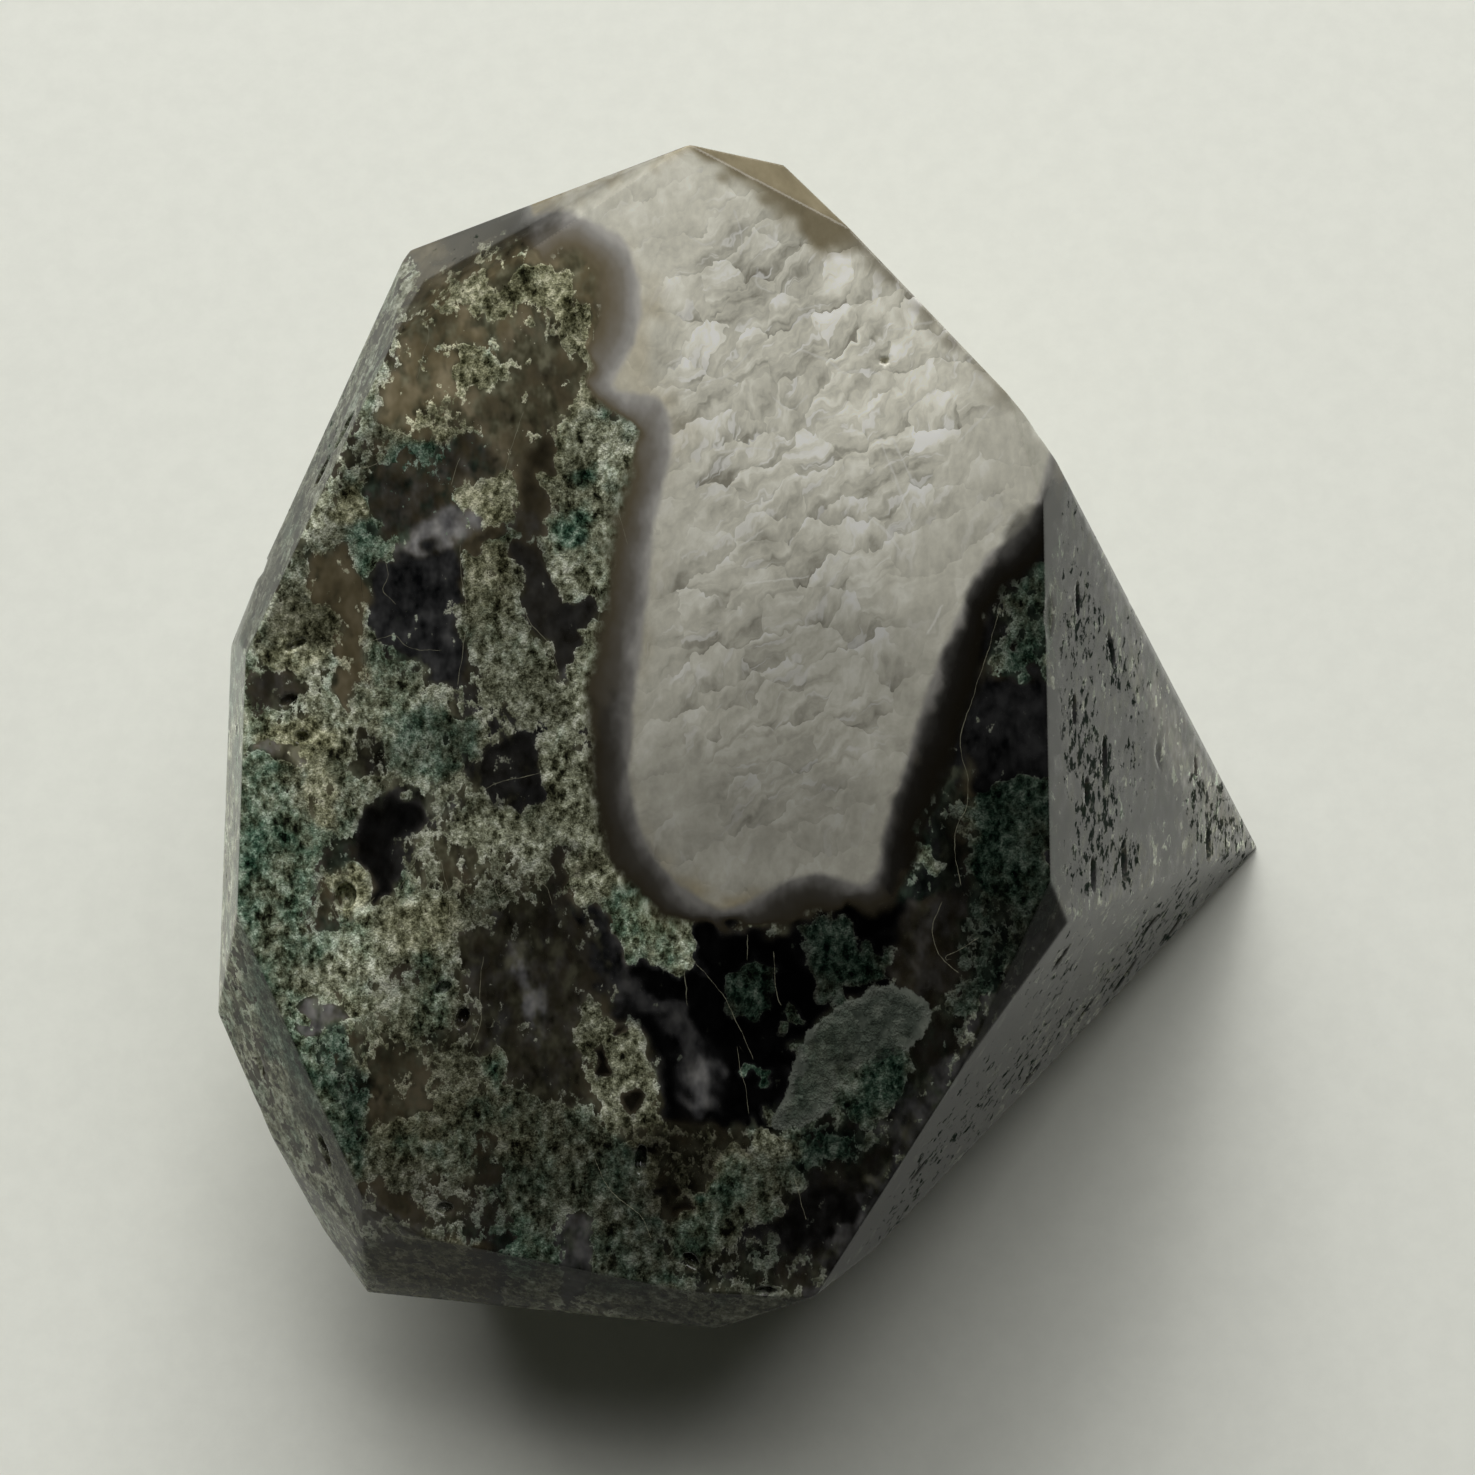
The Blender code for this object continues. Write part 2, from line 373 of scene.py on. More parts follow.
@dataclass
class FlatFace:
    """One ground face laid flat, where places are rows of millimetres across and up it. The corners and
    the rim are given in space."""

    face: GroundFace
    corners: np.ndarray
    rim: np.ndarray
    inset_rows: tuple[float, ...] = (0.09, 0.22)
    inset_kept: float = 0.97
    grid_gap: float = 0.4
    fine_grain: float = 0.14
    fine_border: float = 0.3
    fine_overlap: float = 0.05
    thin_cell: float = 0.05
    net_slack: float = 1e-7

    def __post_init__(self) -> None:
        """Lays the corners and the rim flat, and works out which way is inward at each side."""
        self.basis = np.stack(self.face.axes, axis=1)
        self.middle = self.face.out * self.face.distance
        self.corners = self.corners @ self.basis
        self.rim = self.rim @ self.basis
        sides = np.roll(self.corners, -1, axis=0) - self.corners
        lengths = np.linalg.norm(sides, axis=1, keepdims=True)
        self.inward = np.stack([-sides[:, 1], sides[:, 0]], axis=1) / lengths
        self.offsets = (self.corners * self.inward).sum(axis=1)

    def room(self, points: np.ndarray) -> np.ndarray:
        """Distance from each point to the nearest side of the face."""
        return (points @ self.inward.T - self.offsets).min(axis=1)

    def lift(self, points: np.ndarray) -> np.ndarray:
        """Places in space of points on the face."""
        return points @ self.basis.T + self.middle

    @staticmethod
    def lattice(outline: np.ndarray, grain: float) -> np.ndarray:
        """Points (grain times (i + half of j's parity), 0.866 grain times j) over the outline's box.

        Args:
            outline: Places whose box is covered.
            grain: Distance between the points.

        Returns:
            The points, one row each.
        """
        low, high = outline.min(axis=0), outline.max(axis=0)
        across = np.arange(low[0], high[0], grain)
        up = np.arange(low[1], high[1], grain * math.sqrt(0.75))
        x, y = np.meshgrid(across, up)
        x = x + (np.arange(len(up)) % 2)[:, None] * grain / 2
        return np.stack([x.ravel(), y.ravel()], axis=1)

    def rows_beside_rim(self) -> list[np.ndarray]:
        """Rows of points that follow the rim at each inset, so that the edge can be rounded.

        Returns:
            One array of points for each inset.
        """
        step = np.roll(self.rim, -1, axis=0) - self.rim
        size = np.linalg.norm(step, axis=1, keepdims=True)
        turned = np.stack([-step[:, 1], step[:, 0]], axis=1) / size
        rows = []
        for number, inset in enumerate(self.inset_rows):
            start = self.rim + step * (0.5 if number % 2 == 0 else 0.0)
            row = start + turned * inset
            rows.append(row[self.room(row) > inset * self.inset_kept])
        return rows

    def grids(self, cavities: tuple[Cavity, ...]) -> list[np.ndarray]:
        """The grid of the two parameters, across and up, with a finer grid in the hollows.

        Args:
            cavities: The hollows that are sunk into this face.

        Returns:
            The points of the grid, then those of each finer grid.
        """
        last = self.inset_rows[-1]
        grid = self.lattice(self.corners, self.face.grain.value)
        grid = grid[self.room(grid) > last + self.grid_gap * self.face.grain.value]
        fine = []
        for cavity in cavities:
            middle = np.array([cavity.across, cavity.up])
            half = cavity.length / 2 + self.fine_border
            mesh = self.lattice(np.array([middle - half, middle + half]), self.fine_grain)
            margin = 1.0 + self.fine_border / cavity.width
            inside = cavity.local(self.lift(mesh), self.face)[1] < margin
            fine.append(mesh[inside & (self.room(mesh) > last + self.grid_gap * self.fine_grain)])
            reach = cavity.local(self.lift(grid), self.face)[1]
            grid = grid[reach > margin + self.fine_overlap]
        return [grid, *fine]

    def thin(self, points: np.ndarray) -> np.ndarray:
        """Keeps one point of those that share a small square cell, so that no two coincide."""
        _, first = np.unique(np.round(points / self.thin_cell).astype(int), axis=0, return_index=True)
        return points[np.sort(first)]

    def cover(self, cavities: tuple[Cavity, ...]) -> tuple[np.ndarray, np.ndarray]:
        """Fills the face with points and nets them with triangles that face outward.

        Args:
            cavities: The hollows that are sunk into this face.

        Returns:
            The new points inside the face, in space, and triangles that number the rim's points first.

        Raises:
            ValueError: If the net adds or drops a point.
        """
        inner = self.thin(np.concatenate([*self.rows_beside_rim(), *self.grids(cavities)]))
        flat = np.concatenate([self.rim, inner])
        ring = [(i, (i + 1) % len(self.rim)) for i in range(len(self.rim))]
        places = [Vector(point) for point in flat.tolist()]
        made = delaunay_2d_cdt(places, ring, [], 1, self.net_slack)
        if len(made[0]) != len(flat):
            raise ValueError(f"face {self.face.name}: the net has {len(made[0])} points for {len(flat)}")
        net = np.array(made[2])
        a, b, c = flat[net[:, 0]], flat[net[:, 1]], flat[net[:, 2]]
        area = (b[:, 0] - a[:, 0]) * (c[:, 1] - a[:, 1]) - (b[:, 1] - a[:, 1]) * (c[:, 0] - a[:, 0])
        return self.lift(inner), np.where(area[:, None] < 0, net[:, ::-1], net)


@dataclass
class GroundSurface:
    """The skin of a stone that is ground to flat faces, as one closed net of triangles."""

    faces: tuple[GroundFace, ...] = FACES
    cavities: tuple[Cavity, ...] = CAVITIES
    weld: float = 0.1
    flat_slack: float = 0.11
    parallel: float = 1e-5
    outside_slack: float = 1e-6
    edge_softness: float = 0.03
    extra_wear: float = 1.6
    nick_centre: Triple = (-35.7, 12.7, 36.6)
    nick_inward: Triple = (1.0, -0.2, -0.4)
    nick_radius: float = 0.8

    def __post_init__(self) -> None:
        """Works out the planes and the corners where they meet."""
        self.normals = np.array([face.out for face in self.faces])
        self.distances = np.array([face.distance for face in self.faces])
        self.corners = self.find_corners()
        self.by_name = {face.name: face for face in self.faces}

    def find_corners(self) -> np.ndarray:
        """Points where three planes meet and that lie inside all the others, close ones welded.

        Returns:
            Corners in millimetres, one row each.
        """
        triples = np.array(list(itertools.combinations(range(len(self.faces)), 3)))
        planes = self.normals[triples]
        meet = np.abs(np.linalg.det(planes)) > self.parallel
        points = np.linalg.solve(planes[meet], self.distances[triples[meet]][..., None])[..., 0]
        points = points[(points @ self.normals.T <= self.distances + self.outside_slack).all(axis=1)]
        gaps = np.linalg.norm(points[:, None] - points[None], axis=2)
        return points[(gaps < self.weld).argmax(axis=1) == np.arange(len(points))]

    def face_corners(self, face: GroundFace) -> np.ndarray:
        """Finds the corners on one face.

        Args:
            face: The ground face.

        Returns:
            Numbers of its corners, in order round it as seen from outside.
        """
        on_face = np.flatnonzero(np.abs(self.corners @ face.out - face.distance) < self.flat_slack)
        flat = self.corners[on_face] @ np.stack(face.axes, axis=1)
        flat -= flat.mean(axis=0)
        return on_face[np.argsort(np.arctan2(flat[:, 1], flat[:, 0]))]

    def build(self) -> tuple[np.ndarray, np.ndarray]:
        """Covers every face with its grid and joins the grids along the shared edges.

        Returns:
            Points in millimetres, one row each, and triangles as rows of point numbers.
        """
        loops = [self.face_corners(face) for face in self.faces]
        grain: dict[tuple[int, int], float] = {}
        for face, loop in zip(self.faces, loops):
            for edge in zip(loop, np.roll(loop, -1)):
                key = (min(edge), max(edge))
                grain[key] = min(grain.get(key, math.inf), face.grain.value)
        blocks = [self.corners]
        count = len(self.corners)
        edge_points: dict[tuple[int, int], np.ndarray] = {}
        for key, step in grain.items():
            start, end = self.corners[key[0]], self.corners[key[1]]
            parts = max(1, round(float(np.linalg.norm(end - start)) / step))
            blocks.append(start + (end - start) * (np.arange(1, parts)[:, None] / parts))
            edge_points[key] = np.arange(count, count + parts - 1)
            count += parts - 1
        triangles = []
        for face, loop in zip(self.faces, loops):
            known = np.concatenate(blocks)
            rim = self.rim_numbers(loop, edge_points)
            sunk = tuple(cavity for cavity in self.cavities if cavity.face == face.name)
            inner, net = FlatFace(face, known[loop], known[rim]).cover(sunk)
            numbers = np.concatenate([rim, np.arange(count, count + len(inner))])
            blocks.append(inner)
            count += len(inner)
            triangles.append(numbers[net])
        return np.concatenate(blocks), np.concatenate(triangles)

    @staticmethod
    def rim_numbers(loop: np.ndarray, edge_points: dict[tuple[int, int], np.ndarray]) -> np.ndarray:
        """Numbers the points round one face: each corner, then the points along the edge after it.

        Args:
            loop: Numbers of the face's corners, in order.
            edge_points: Numbers of the points along each edge, from its lower corner number up.

        Returns:
            The numbers of all the points round the face, in order.
        """
        rim: list[np.ndarray] = []
        for start, end in zip(loop, np.roll(loop, -1)):
            along = edge_points[(min(start, end), max(start, end))]
            rim.extend([np.array([start]), along if start < end else along[::-1]])
        return np.concatenate(rim)

    def round_edges(self, points: np.ndarray) -> np.ndarray:
        """Rounds edges and corners: the planes' soft maximum k log sum exp(s / k) is moved to 0.

        s is each plane's signed distance to the point and k the softness, which a random field
        makes larger here and there, as a worn or chipped edge is.

        Args:
            points: Places on the sharp faces.

        Returns:
            Places on the rounded surface.
        """
        wear = ease(ripple(points, 2.6, 11) + 0.7 * ripple(points, 0.9, 12), 1.1, 2.4)
        softness = (self.edge_softness * (1.0 + self.extra_wear * wear))[:, None]
        depths = (points @ self.normals.T - self.distances) / softness
        weights = np.exp(depths)
        total = weights.sum(axis=1, keepdims=True)
        slope = (weights / total) @ self.normals
        rise = softness * np.log(total)
        return points - slope * rise / (slope * slope).sum(axis=1, keepdims=True)

    def shares(self, points: np.ndarray) -> np.ndarray:
        """Blends what the faces give back and their gloss over the edges.

        Args:
            points: Places on the sharp faces.

        Returns:
            Blends the faces' painted light factors, painted light and shade on the colour, and their gloss
            over the edges.
        """
        weights = np.exp((points @ self.normals.T - self.distances) / self.edge_softness)
        shares = np.array([(face.painted_light_factor, face.gloss) for face in self.faces])
        return weights @ shares / weights.sum(axis=1, keepdims=True)

    def sink_cavities(self, points: np.ndarray) -> np.ndarray:
        """Sinks every open hollow, and the round nick in the left edge, into the surface.

        Args:
            points: Places on the rounded surface.

        Returns:
            The moved places. In the nick they go inward to the far side of its ball.
        """
        for cavity in self.cavities:
            points = cavity.sink(points, self.by_name[cavity.face])
        offset = points - np.array(self.nick_centre)
        gap = np.linalg.norm(offset, axis=1, keepdims=True)
        inner = np.array(self.nick_inward) / np.linalg.norm(self.nick_inward)
        along = (offset @ inner)[:, None]
        chord = np.sqrt(np.clip(self.nick_radius**2 - gap**2 + along**2, 0.0, None))
        return np.where(gap < self.nick_radius, points + inner * (chord - along), points)


def smooth_line(points: Outline, closed: bool) -> np.ndarray:
    """Carries a smooth curve through the points, as Catmull and Rom's cubic spans.

    Args:
        points: Places the curve passes through.
        closed: Whether the curve returns to its start.

    Returns:
        Places along the curve, one row each.
    """
    given = np.array(points, float)
    if closed:
        padded = np.concatenate([given[-1:], given, given[:2]])
    else:
        padded = np.concatenate([2 * given[:1] - given[1:2], given, 2 * given[-1:] - given[-2:-1]])
    t = (np.arange(CURVE_STEPS) / CURVE_STEPS)[None, :, None]
    a, b, c, d = (padded[k : len(padded) - 3 + k, None] for k in range(4))
    spans = 0.5 * (2 * b + (c - a) * t + (2 * a - 5 * b + 4 * c - d) * t**2 + (3 * b - a - 3 * c + d) * t**3)
    line = spans.reshape(-1, 2)
    return line if closed else np.concatenate([line, given[-1:]])


def beside_line(points: np.ndarray, start: np.ndarray, end: np.ndarray) -> tuple[np.ndarray, np.ndarray]:
    """Finds the nearest of many short lines to each point.

    Args:
        points: Places, one row each.
        start: First ends of the lines.
        end: Second ends of the lines.

    Returns:
        The distance to the nearest line, and which side of it the point is on, as an offset.
    """
    side = end - start
    span = (side * side).sum(axis=1) + NO_LENGTH
    offset = points[:, None, :] - start[None]
    share = np.clip((offset * side).sum(axis=2) / span, 0.0, 1.0)
    gap = offset - share[..., None] * side
    far = (gap * gap).sum(axis=2)
    best = far.argmin(axis=1)
    row = np.arange(len(points))
    distance = np.sqrt(far[row, best])
    cross = side[best, 0] * offset[row, best, 1] - side[best, 1] * offset[row, best, 0]
    return distance, cross / np.sqrt(span[best])


def depth_inside(points: np.ndarray, outline: np.ndarray, margin: float) -> np.ndarray:
    """Distance to a closed outline, positive inside it, and minus the margin where it is far.

    Args:
        points: Places, one row each.
        outline: The closed outline's points.
        margin: Distance outside the outline past which it isn't worked out.

    Returns:
        One signed distance for each point.
    """
    low, high = outline.min(axis=0) - margin, outline.max(axis=0) + margin
    near = np.flatnonzero(((points > low) & (points < high)).all(axis=1))
    start, end = outline, np.roll(outline, -1, axis=0)
    down = end[:, 1] - start[:, 1]
    slope = (end[:, 0] - start[:, 0]) / np.where(down == 0.0, NO_LENGTH, down)
    depths = np.full(len(points), -margin)
    for part in np.array_split(near, max(1, len(near) * len(outline) // PAIRS_AT_ONCE)):
        here = points[part]
        distance, _ = beside_line(here, start, end)
        x, y = here[:, :1], here[:, 1:]
        rises = (start[:, 1] > y) != (end[:, 1] > y)
        crossed = rises & (x < start[:, 0] + (y - start[:, 1]) * slope)
        sign = np.where(crossed.sum(axis=1) % 2 == 1, 1.0, -1.0)
        depths[part] = np.maximum(sign * distance, -margin)
    return depths


@dataclass(frozen=True)
class Spot:
    """An oval in the photograph: its middle, half its length and width in pixels, and its turn."""

    across: float
    down: float
    long: float
    short: float
    turn: float = 0.0

    def depth(self, pixels: np.ndarray, margin: float) -> np.ndarray:
        """Measures how far inside the oval points are.

        Args:
            pixels: Places in the photograph, one row each.
            margin: Distance outside the oval past which it isn't worked out.

        Returns:
            About the pixels inside its edge: half its width times one less the reach.
        """
        turn = math.radians(self.turn)
        offset = pixels - np.array([self.across, self.down])
        along = offset[:, 0] * math.cos(turn) - offset[:, 1] * math.sin(turn)
        beside = offset[:, 0] * math.sin(turn) + offset[:, 1] * math.cos(turn)
        reach = np.hypot(along / self.long, beside / self.short)
        return np.maximum((1.0 - reach) * self.short, -margin)


@dataclass(frozen=True)
class Plot:
    """A zone in the photograph with a smooth outline through a few points, in pixels."""

    points: Outline

    def depth(self, pixels: np.ndarray, margin: float) -> np.ndarray:
        """Pixels inside the outline, negative outside it, and minus the margin where it is far."""
        return depth_inside(pixels, smooth_line(self.points, True), margin)


@dataclass(frozen=True)
class Tone:
    """What the stone holds in a zone, each about 0 to 1. What is left out stays as it was."""

    moss: float | None = None
    deep: float | None = None
    green: float | None = None
    light: float | None = None
    brown: float | None = None
    veil: float | None = None
    pits: float | None = None
    rim: float | None = None
    # Painted light and shade, and the quartz's painted glow, as factors on the colour
    painted_light: float | None = None
    painted_glow: float | None = None
    stir: float | None = None


@dataclass(frozen=True)
class Zone:
    """A shape in the photograph that the stone's tone changes in, with a soft edge in pixels."""

    shape: Spot | Plot
    tone: Tone
    soft: float = 7.0


# Outlines in pixels of the photograph
QUARTZ_OUTLINE: Outline = (
    (530, 222), (560, 214), (600, 226), (628, 248), (640, 300), (634, 342), (611, 386), (640, 395),
    (662, 402), (671, 440), (661, 490), (652, 540), (646, 600), (636, 680), (629, 770), (642, 832),
    (664, 870), (692, 894), (725, 910), (755, 899), (790, 880), (825, 875), (862, 885), (880, 865),
    (888, 820), (905, 770), (922, 710), (940, 660), (962, 608), (985, 560), (1012, 538), (1036, 506),
    (1062, 430), (1100, 300), (950, 60), (700, 20), (560, 100), (520, 190),
)
SLAB_OUTLINE: Outline = (
    (771, 1125), (787, 1087), (803, 1038), (830, 1011), (863, 992), (895, 984), (930, 1003), (922, 1038),
    (895, 1058), (860, 1068), (842, 1082), (834, 1105), (812, 1124), (787, 1131),
)

ZONES = (
    # Clear brown agate at the upper left, with small round patches of moss
    Zone(Plot(((400, 250), (470, 262), (600, 240), (598, 320), (592, 400), (560, 440), (540, 520),
               (505, 475), (470, 430), (440, 445), (385, 425), (382, 400), (390, 335))),
         Tone(moss=0.1, deep=0.55, green=0.25, light=1.0, brown=1.0, veil=0.16)),
    Zone(Plot(((500, 335), (560, 325), (592, 370), (570, 440), (543, 520), (505, 470), (470, 400))),
         Tone(light=0.66, brown=0.8, deep=0.7), 14.0),
    Zone(Plot(((398, 250), (520, 200), (690, 138), (692, 160), (610, 195), (540, 226), (470, 265),
               (400, 332))), Tone(moss=0.06, deep=0.3, light=0.32, brown=1.0, veil=0.1), 3.0),
    Zone(Spot(585, 200, 60, 12, 22), Tone(veil=1.0, light=1.0, brown=0.5), 5.0),
    Zone(Spot(470, 250, 75, 5, 24), Tone(light=0.24), 4.0),
    # Painted light: the thin corner at the top left is made paler, as if light came through it
    Zone(Plot(((398, 250), (440, 240), (440, 262), (405, 300), (385, 300))), Tone(light=0.9, veil=0.3)),
    Zone(Spot(428, 310, 26, 40), Tone(light=0.66), 10.0),
    Zone(Spot(540, 288, 32, 24, 20), Tone(moss=0.95, light=0.8, green=0.3)),
    Zone(Spot(497, 298, 36, 16, 25), Tone(moss=0.8, light=0.62, green=0.25)),
    Zone(Spot(465, 285, 28, 10, 40), Tone(moss=0.75, light=0.55, green=0.3)),
    Zone(Spot(481, 366, 25, 24), Tone(moss=0.95, light=0.8, green=0.18)),
    Zone(Spot(448, 425, 24, 18, -30), Tone(moss=0.5, light=0.6, green=0.15)),
    Zone(Plot(((566, 300), (580, 304), (588, 350), (592, 400), (602, 432), (574, 424), (578, 372),
               (562, 342))), Tone(moss=0.78, light=0.6, green=0.2), 5.0),
    Zone(Spot(548, 328, 20, 20), Tone(moss=0.4, veil=0.1, green=0.4, light=0.5)),
    # Pale moss that ends against the chalcedony
    Zone(Plot(((558, 432), (600, 420), (640, 442), (646, 462), (626, 492), (602, 492), (612, 540),
               (613, 562), (592, 594), (560, 590), (552, 552), (540, 540), (550, 500), (553, 468))),
         Tone(moss=1.05, light=0.74, green=0.3, deep=0.4), 4.0),
    Zone(Spot(580, 478, 16, 12), Tone(green=1.0, light=0.45), 5.0),
    Zone(Spot(573, 528, 22, 18), Tone(green=0.85, light=0.62), 6.0),
    Zone(Spot(591, 541, 9, 8), Tone(green=0.9, light=0.15), 4.0),
    Zone(Plot(((465, 484), (492, 474), (522, 482), (514, 520), (500, 531), (470, 526))),
         Tone(moss=0.92, light=0.72, green=0.15), 4.0),
    # Smoky agate between the patches
    Zone(Plot(((380, 450), (440, 440), (470, 430), (503, 468), (465, 485), (440, 503), (405, 530),
               (368, 520))), Tone(moss=0.08, deep=0.45, light=0.36, brown=0.6, veil=0.35)),
    Zone(Plot(((402, 568), (405, 532), (440, 505), (466, 500), (468, 530), (455, 545), (420, 562))),
         Tone(moss=-0.05, deep=0.1, light=0.85, brown=0.4, veil=0.8), 9.0),
    Zone(Plot(((460, 552), (470, 532), (512, 532), (490, 548))), Tone(moss=0.0, light=0.2, veil=0.35), 4.0),
    Zone(Spot(415, 452, 38, 13), Tone(moss=0.42, brown=0.9, light=0.42)),
    Zone(Plot(((518, 470), (552, 440), (545, 530), (520, 538), (512, 505))),
         Tone(moss=0.0, deep=0.05, light=0.2, brown=0.8), 8.0),
    # Dark windows in the middle
    Zone(Plot(((375, 575), (402, 560), (455, 546), (462, 600), (462, 660), (450, 690), (410, 662),
               (390, 650), (370, 620))), Tone(moss=0.04, deep=0.1, light=0.42, brown=0.0, veil=0.25), 5.0),
    Zone(Plot(((525, 540), (546, 560), (562, 592), (592, 612), (580, 655), (562, 672), (545, 655),
               (522, 610), (514, 575))), Tone(moss=0.02, deep=0.06, light=0.34, brown=0.15, veil=0.0), 5.0),
    Zone(Plot(((466, 560), (520, 558), (524, 620), (560, 672), (545, 702), (500, 712), (474, 670))),
         Tone(moss=0.78, deep=0.5, light=0.55, green=0.22), 5.0),
    Zone(Plot(((585, 628), (606, 638), (601, 700), (578, 716), (572, 690), (578, 655))),
         Tone(moss=0.92, light=0.8, green=0.1), 4.0),
    # Olive strip and the moss at the left edge
    Zone(Plot(((318, 545), (363, 560), (362, 692), (345, 702), (328, 650), (305, 600))),
         Tone(moss=0.08, deep=0.3, green=0.2, light=0.4, brown=1.0, veil=0.0), 5.0),
    Zone(Plot(((330, 470), (375, 440), (380, 470), (350, 520), (300, 560), (280, 590), (290, 540))),
         Tone(moss=0.45, green=0.4, light=0.4, veil=0.2)),
    Zone(Spot(350, 507, 22, 18), Tone(moss=0.85, light=0.62, green=0.1, brown=0.9), 5.0),
    Zone(Spot(305, 628, 38, 26, -20), Tone(moss=0.8, light=0.27, green=0.15, brown=0.8)),
    Zone(Spot(290, 660, 30, 16), Tone(moss=0.85, light=0.62, green=0.2, brown=0.8), 5.0),
    Zone(Spot(270, 690, 30, 22), Tone(moss=0.2, deep=0.3, light=0.3, veil=0.3)),
    Zone(Plot(((240, 742), (275, 725), (285, 780), (300, 850), (292, 1000), (330, 1060), (372, 1150),
               (345, 1165), (240, 960), (232, 850))),
         Tone(moss=0.82, deep=0.6, light=0.44, green=0.72), 12.0),
    Zone(Spot(300, 740, 40, 22), Tone(moss=0.75, light=0.55, green=0.1, brown=0.9)),
    Zone(Spot(284, 755, 8, 40, 80), Tone(moss=0.1, veil=0.6, light=0.5), 5.0),
    Zone(Spot(322, 790, 16, 36), Tone(moss=0.5, light=0.45, brown=0.8, green=0.1)),
    Zone(Spot(430, 742, 52, 32), Tone(moss=0.8, light=0.3, green=0.78, deep=0.6)),
    Zone(Spot(372, 760, 20, 22), Tone(moss=0.2, light=0.2, veil=0.2), 6.0),
    Zone(Spot(480, 710, 24, 12), Tone(moss=0.3, veil=0.4, light=0.5), 6.0),
    # Dark windows lower down
    Zone(Plot(((372, 802), (412, 792), (422, 830), (396, 892), (372, 902), (350, 858))),
         Tone(moss=-0.2, deep=0.05, light=0.04, brown=0.1, veil=0.08), 6.0),
    Zone(Plot(((480, 772), (505, 728), (540, 745), (538, 800), (495, 812))),
         Tone(moss=0.05, deep=0.16, light=0.12, brown=0.1, veil=0.1), 6.0),
    Zone(Spot(340, 860, 17, 24, 20), Tone(moss=0.05, light=0.16, brown=0.5), 6.0),
    Zone(Plot(((545, 735), (565, 735), (582, 770), (592, 800), (600, 836), (570, 846), (552, 800),
               (543, 770))), Tone(moss=0.92, light=0.72, green=0.15), 5.0),
    Zone(Plot(((572, 850), (620, 840), (628, 880), (602, 902), (572, 900))),
         Tone(moss=0.95, light=0.8, green=0.2), 4.0),
    Zone(Spot(588, 861, 10, 11), Tone(moss=0.9, light=0.2, brown=0.9), 4.0),
    Zone(Spot(557, 868, 18, 22), Tone(moss=0.1, light=0.2, veil=0.15), 6.0),
    # Ringed vug and the mossy rings below it
    Zone(Spot(345, 895, 26, 24), Tone(moss=0.9, light=0.66, brown=0.8, green=0.2), 6.0),
    Zone(Spot(430, 990, 52, 45), Tone(moss=0.95, light=0.45, green=0.45), 8.0),
    Zone(Spot(430, 925, 50, 30), Tone(moss=0.75, light=0.55, green=0.2, brown=0.8)),
    Zone(Spot(470, 860, 70, 35), Tone(moss=0.45, deep=0.7, light=0.5, green=0.15, veil=0.3)),
    Zone(Spot(500, 835, 46, 16), Tone(moss=0.8, light=0.66, green=0.15), 6.0),
    Zone(Spot(318, 1015, 15, 26, 70), Tone(moss=0.05, light=0.45, veil=0.7), 5.0),
    # Blurred smoky columns with violet streaks
    Zone(Plot(((470, 920), (560, 905), (620, 980), (590, 1060), (560, 1110), (470, 1050), (462, 980))),
         Tone(moss=0.12, deep=0.7, light=0.36, brown=0.5, veil=0.4, green=0.1), 12.0),
    Zone(Spot(520, 940, 26, 22), Tone(light=0.2, veil=0.2), 10.0),
    Zone(Plot(((512, 950), (526, 955), (533, 990), (547, 1012), (545, 1038), (530, 1030), (518, 990))),
         Tone(moss=0.0, veil=1.0, light=0.62), 5.0),
    Zone(Spot(400, 1095, 34, 50), Tone(moss=0.12, deep=0.6, brown=0.9, light=0.46, veil=0.1), 12.0),
    Zone(Plot(((582, 1000), (612, 1008), (642, 1045), (654, 1080), (664, 1112), (670, 1142), (640, 1146),
               (610, 1118), (588, 1080), (574, 1040))),
         Tone(moss=0.82, light=0.62, green=0.0, brown=0.6), 4.0),
    Zone(Spot(600, 1062, 8, 13, 10), Tone(moss=0.0, deep=0.0, light=0.02), 4.0),
    Zone(Spot(636, 1098, 9, 13, -10), Tone(moss=0.0, deep=0.0, light=0.02), 4.0),
    Zone(Spot(622, 1030, 6, 8), Tone(moss=0.1, deep=0.0, light=0.05), 4.0),
    # Black clear zone under the quartz
    Zone(Plot(((640, 952), (700, 916), (760, 935), (800, 925), (870, 893), (905, 915), (892, 985),
               (840, 1002), (800, 1050), (778, 1108), (764, 1134), (744, 1122), (728, 1152), (708, 1128),
               (690, 1158), (672, 1132), (660, 1060), (618, 1000))),
         Tone(moss=0.0, deep=0.0, green=0.5, light=0.0, brown=0.0, veil=0.0), 6.0),
    Zone(Plot(((575, 905), (612, 925), (640, 985), (690, 1012), (712, 1060), (718, 1112), (694, 1112),
               (676, 1060), (655, 1025), (615, 995), (590, 960))),
         Tone(moss=0.0, deep=0.1, veil=0.8, light=0.1, brown=0.0), 5.0),
    Zone(Spot(704, 1080, 30, 10, 76), Tone(veil=1.0, light=0.34), 5.0),
    Zone(Plot(((628, 900), (678, 900), (690, 930), (702, 955), (690, 972), (660, 968), (630, 950))),
         Tone(moss=1.0, light=0.82, green=0.5), 4.0),
    Zone(Plot(((800, 930), (830, 918), (850, 935), (862, 956), (895, 942), (892, 968), (856, 985),
               (840, 1002), (812, 988), (803, 960))), Tone(moss=0.9, green=0.92, light=0.36), 4.0),
    Zone(Plot(((720, 985), (745, 968), (770, 966), (771, 1000), (752, 1022), (728, 1008))),
         Tone(moss=1.0, green=0.88, light=0.45, veil=0.2), 4.0),
    Zone(Spot(793, 1014, 7, 9), Tone(moss=1.0, green=0.8, light=0.5), 3.0),
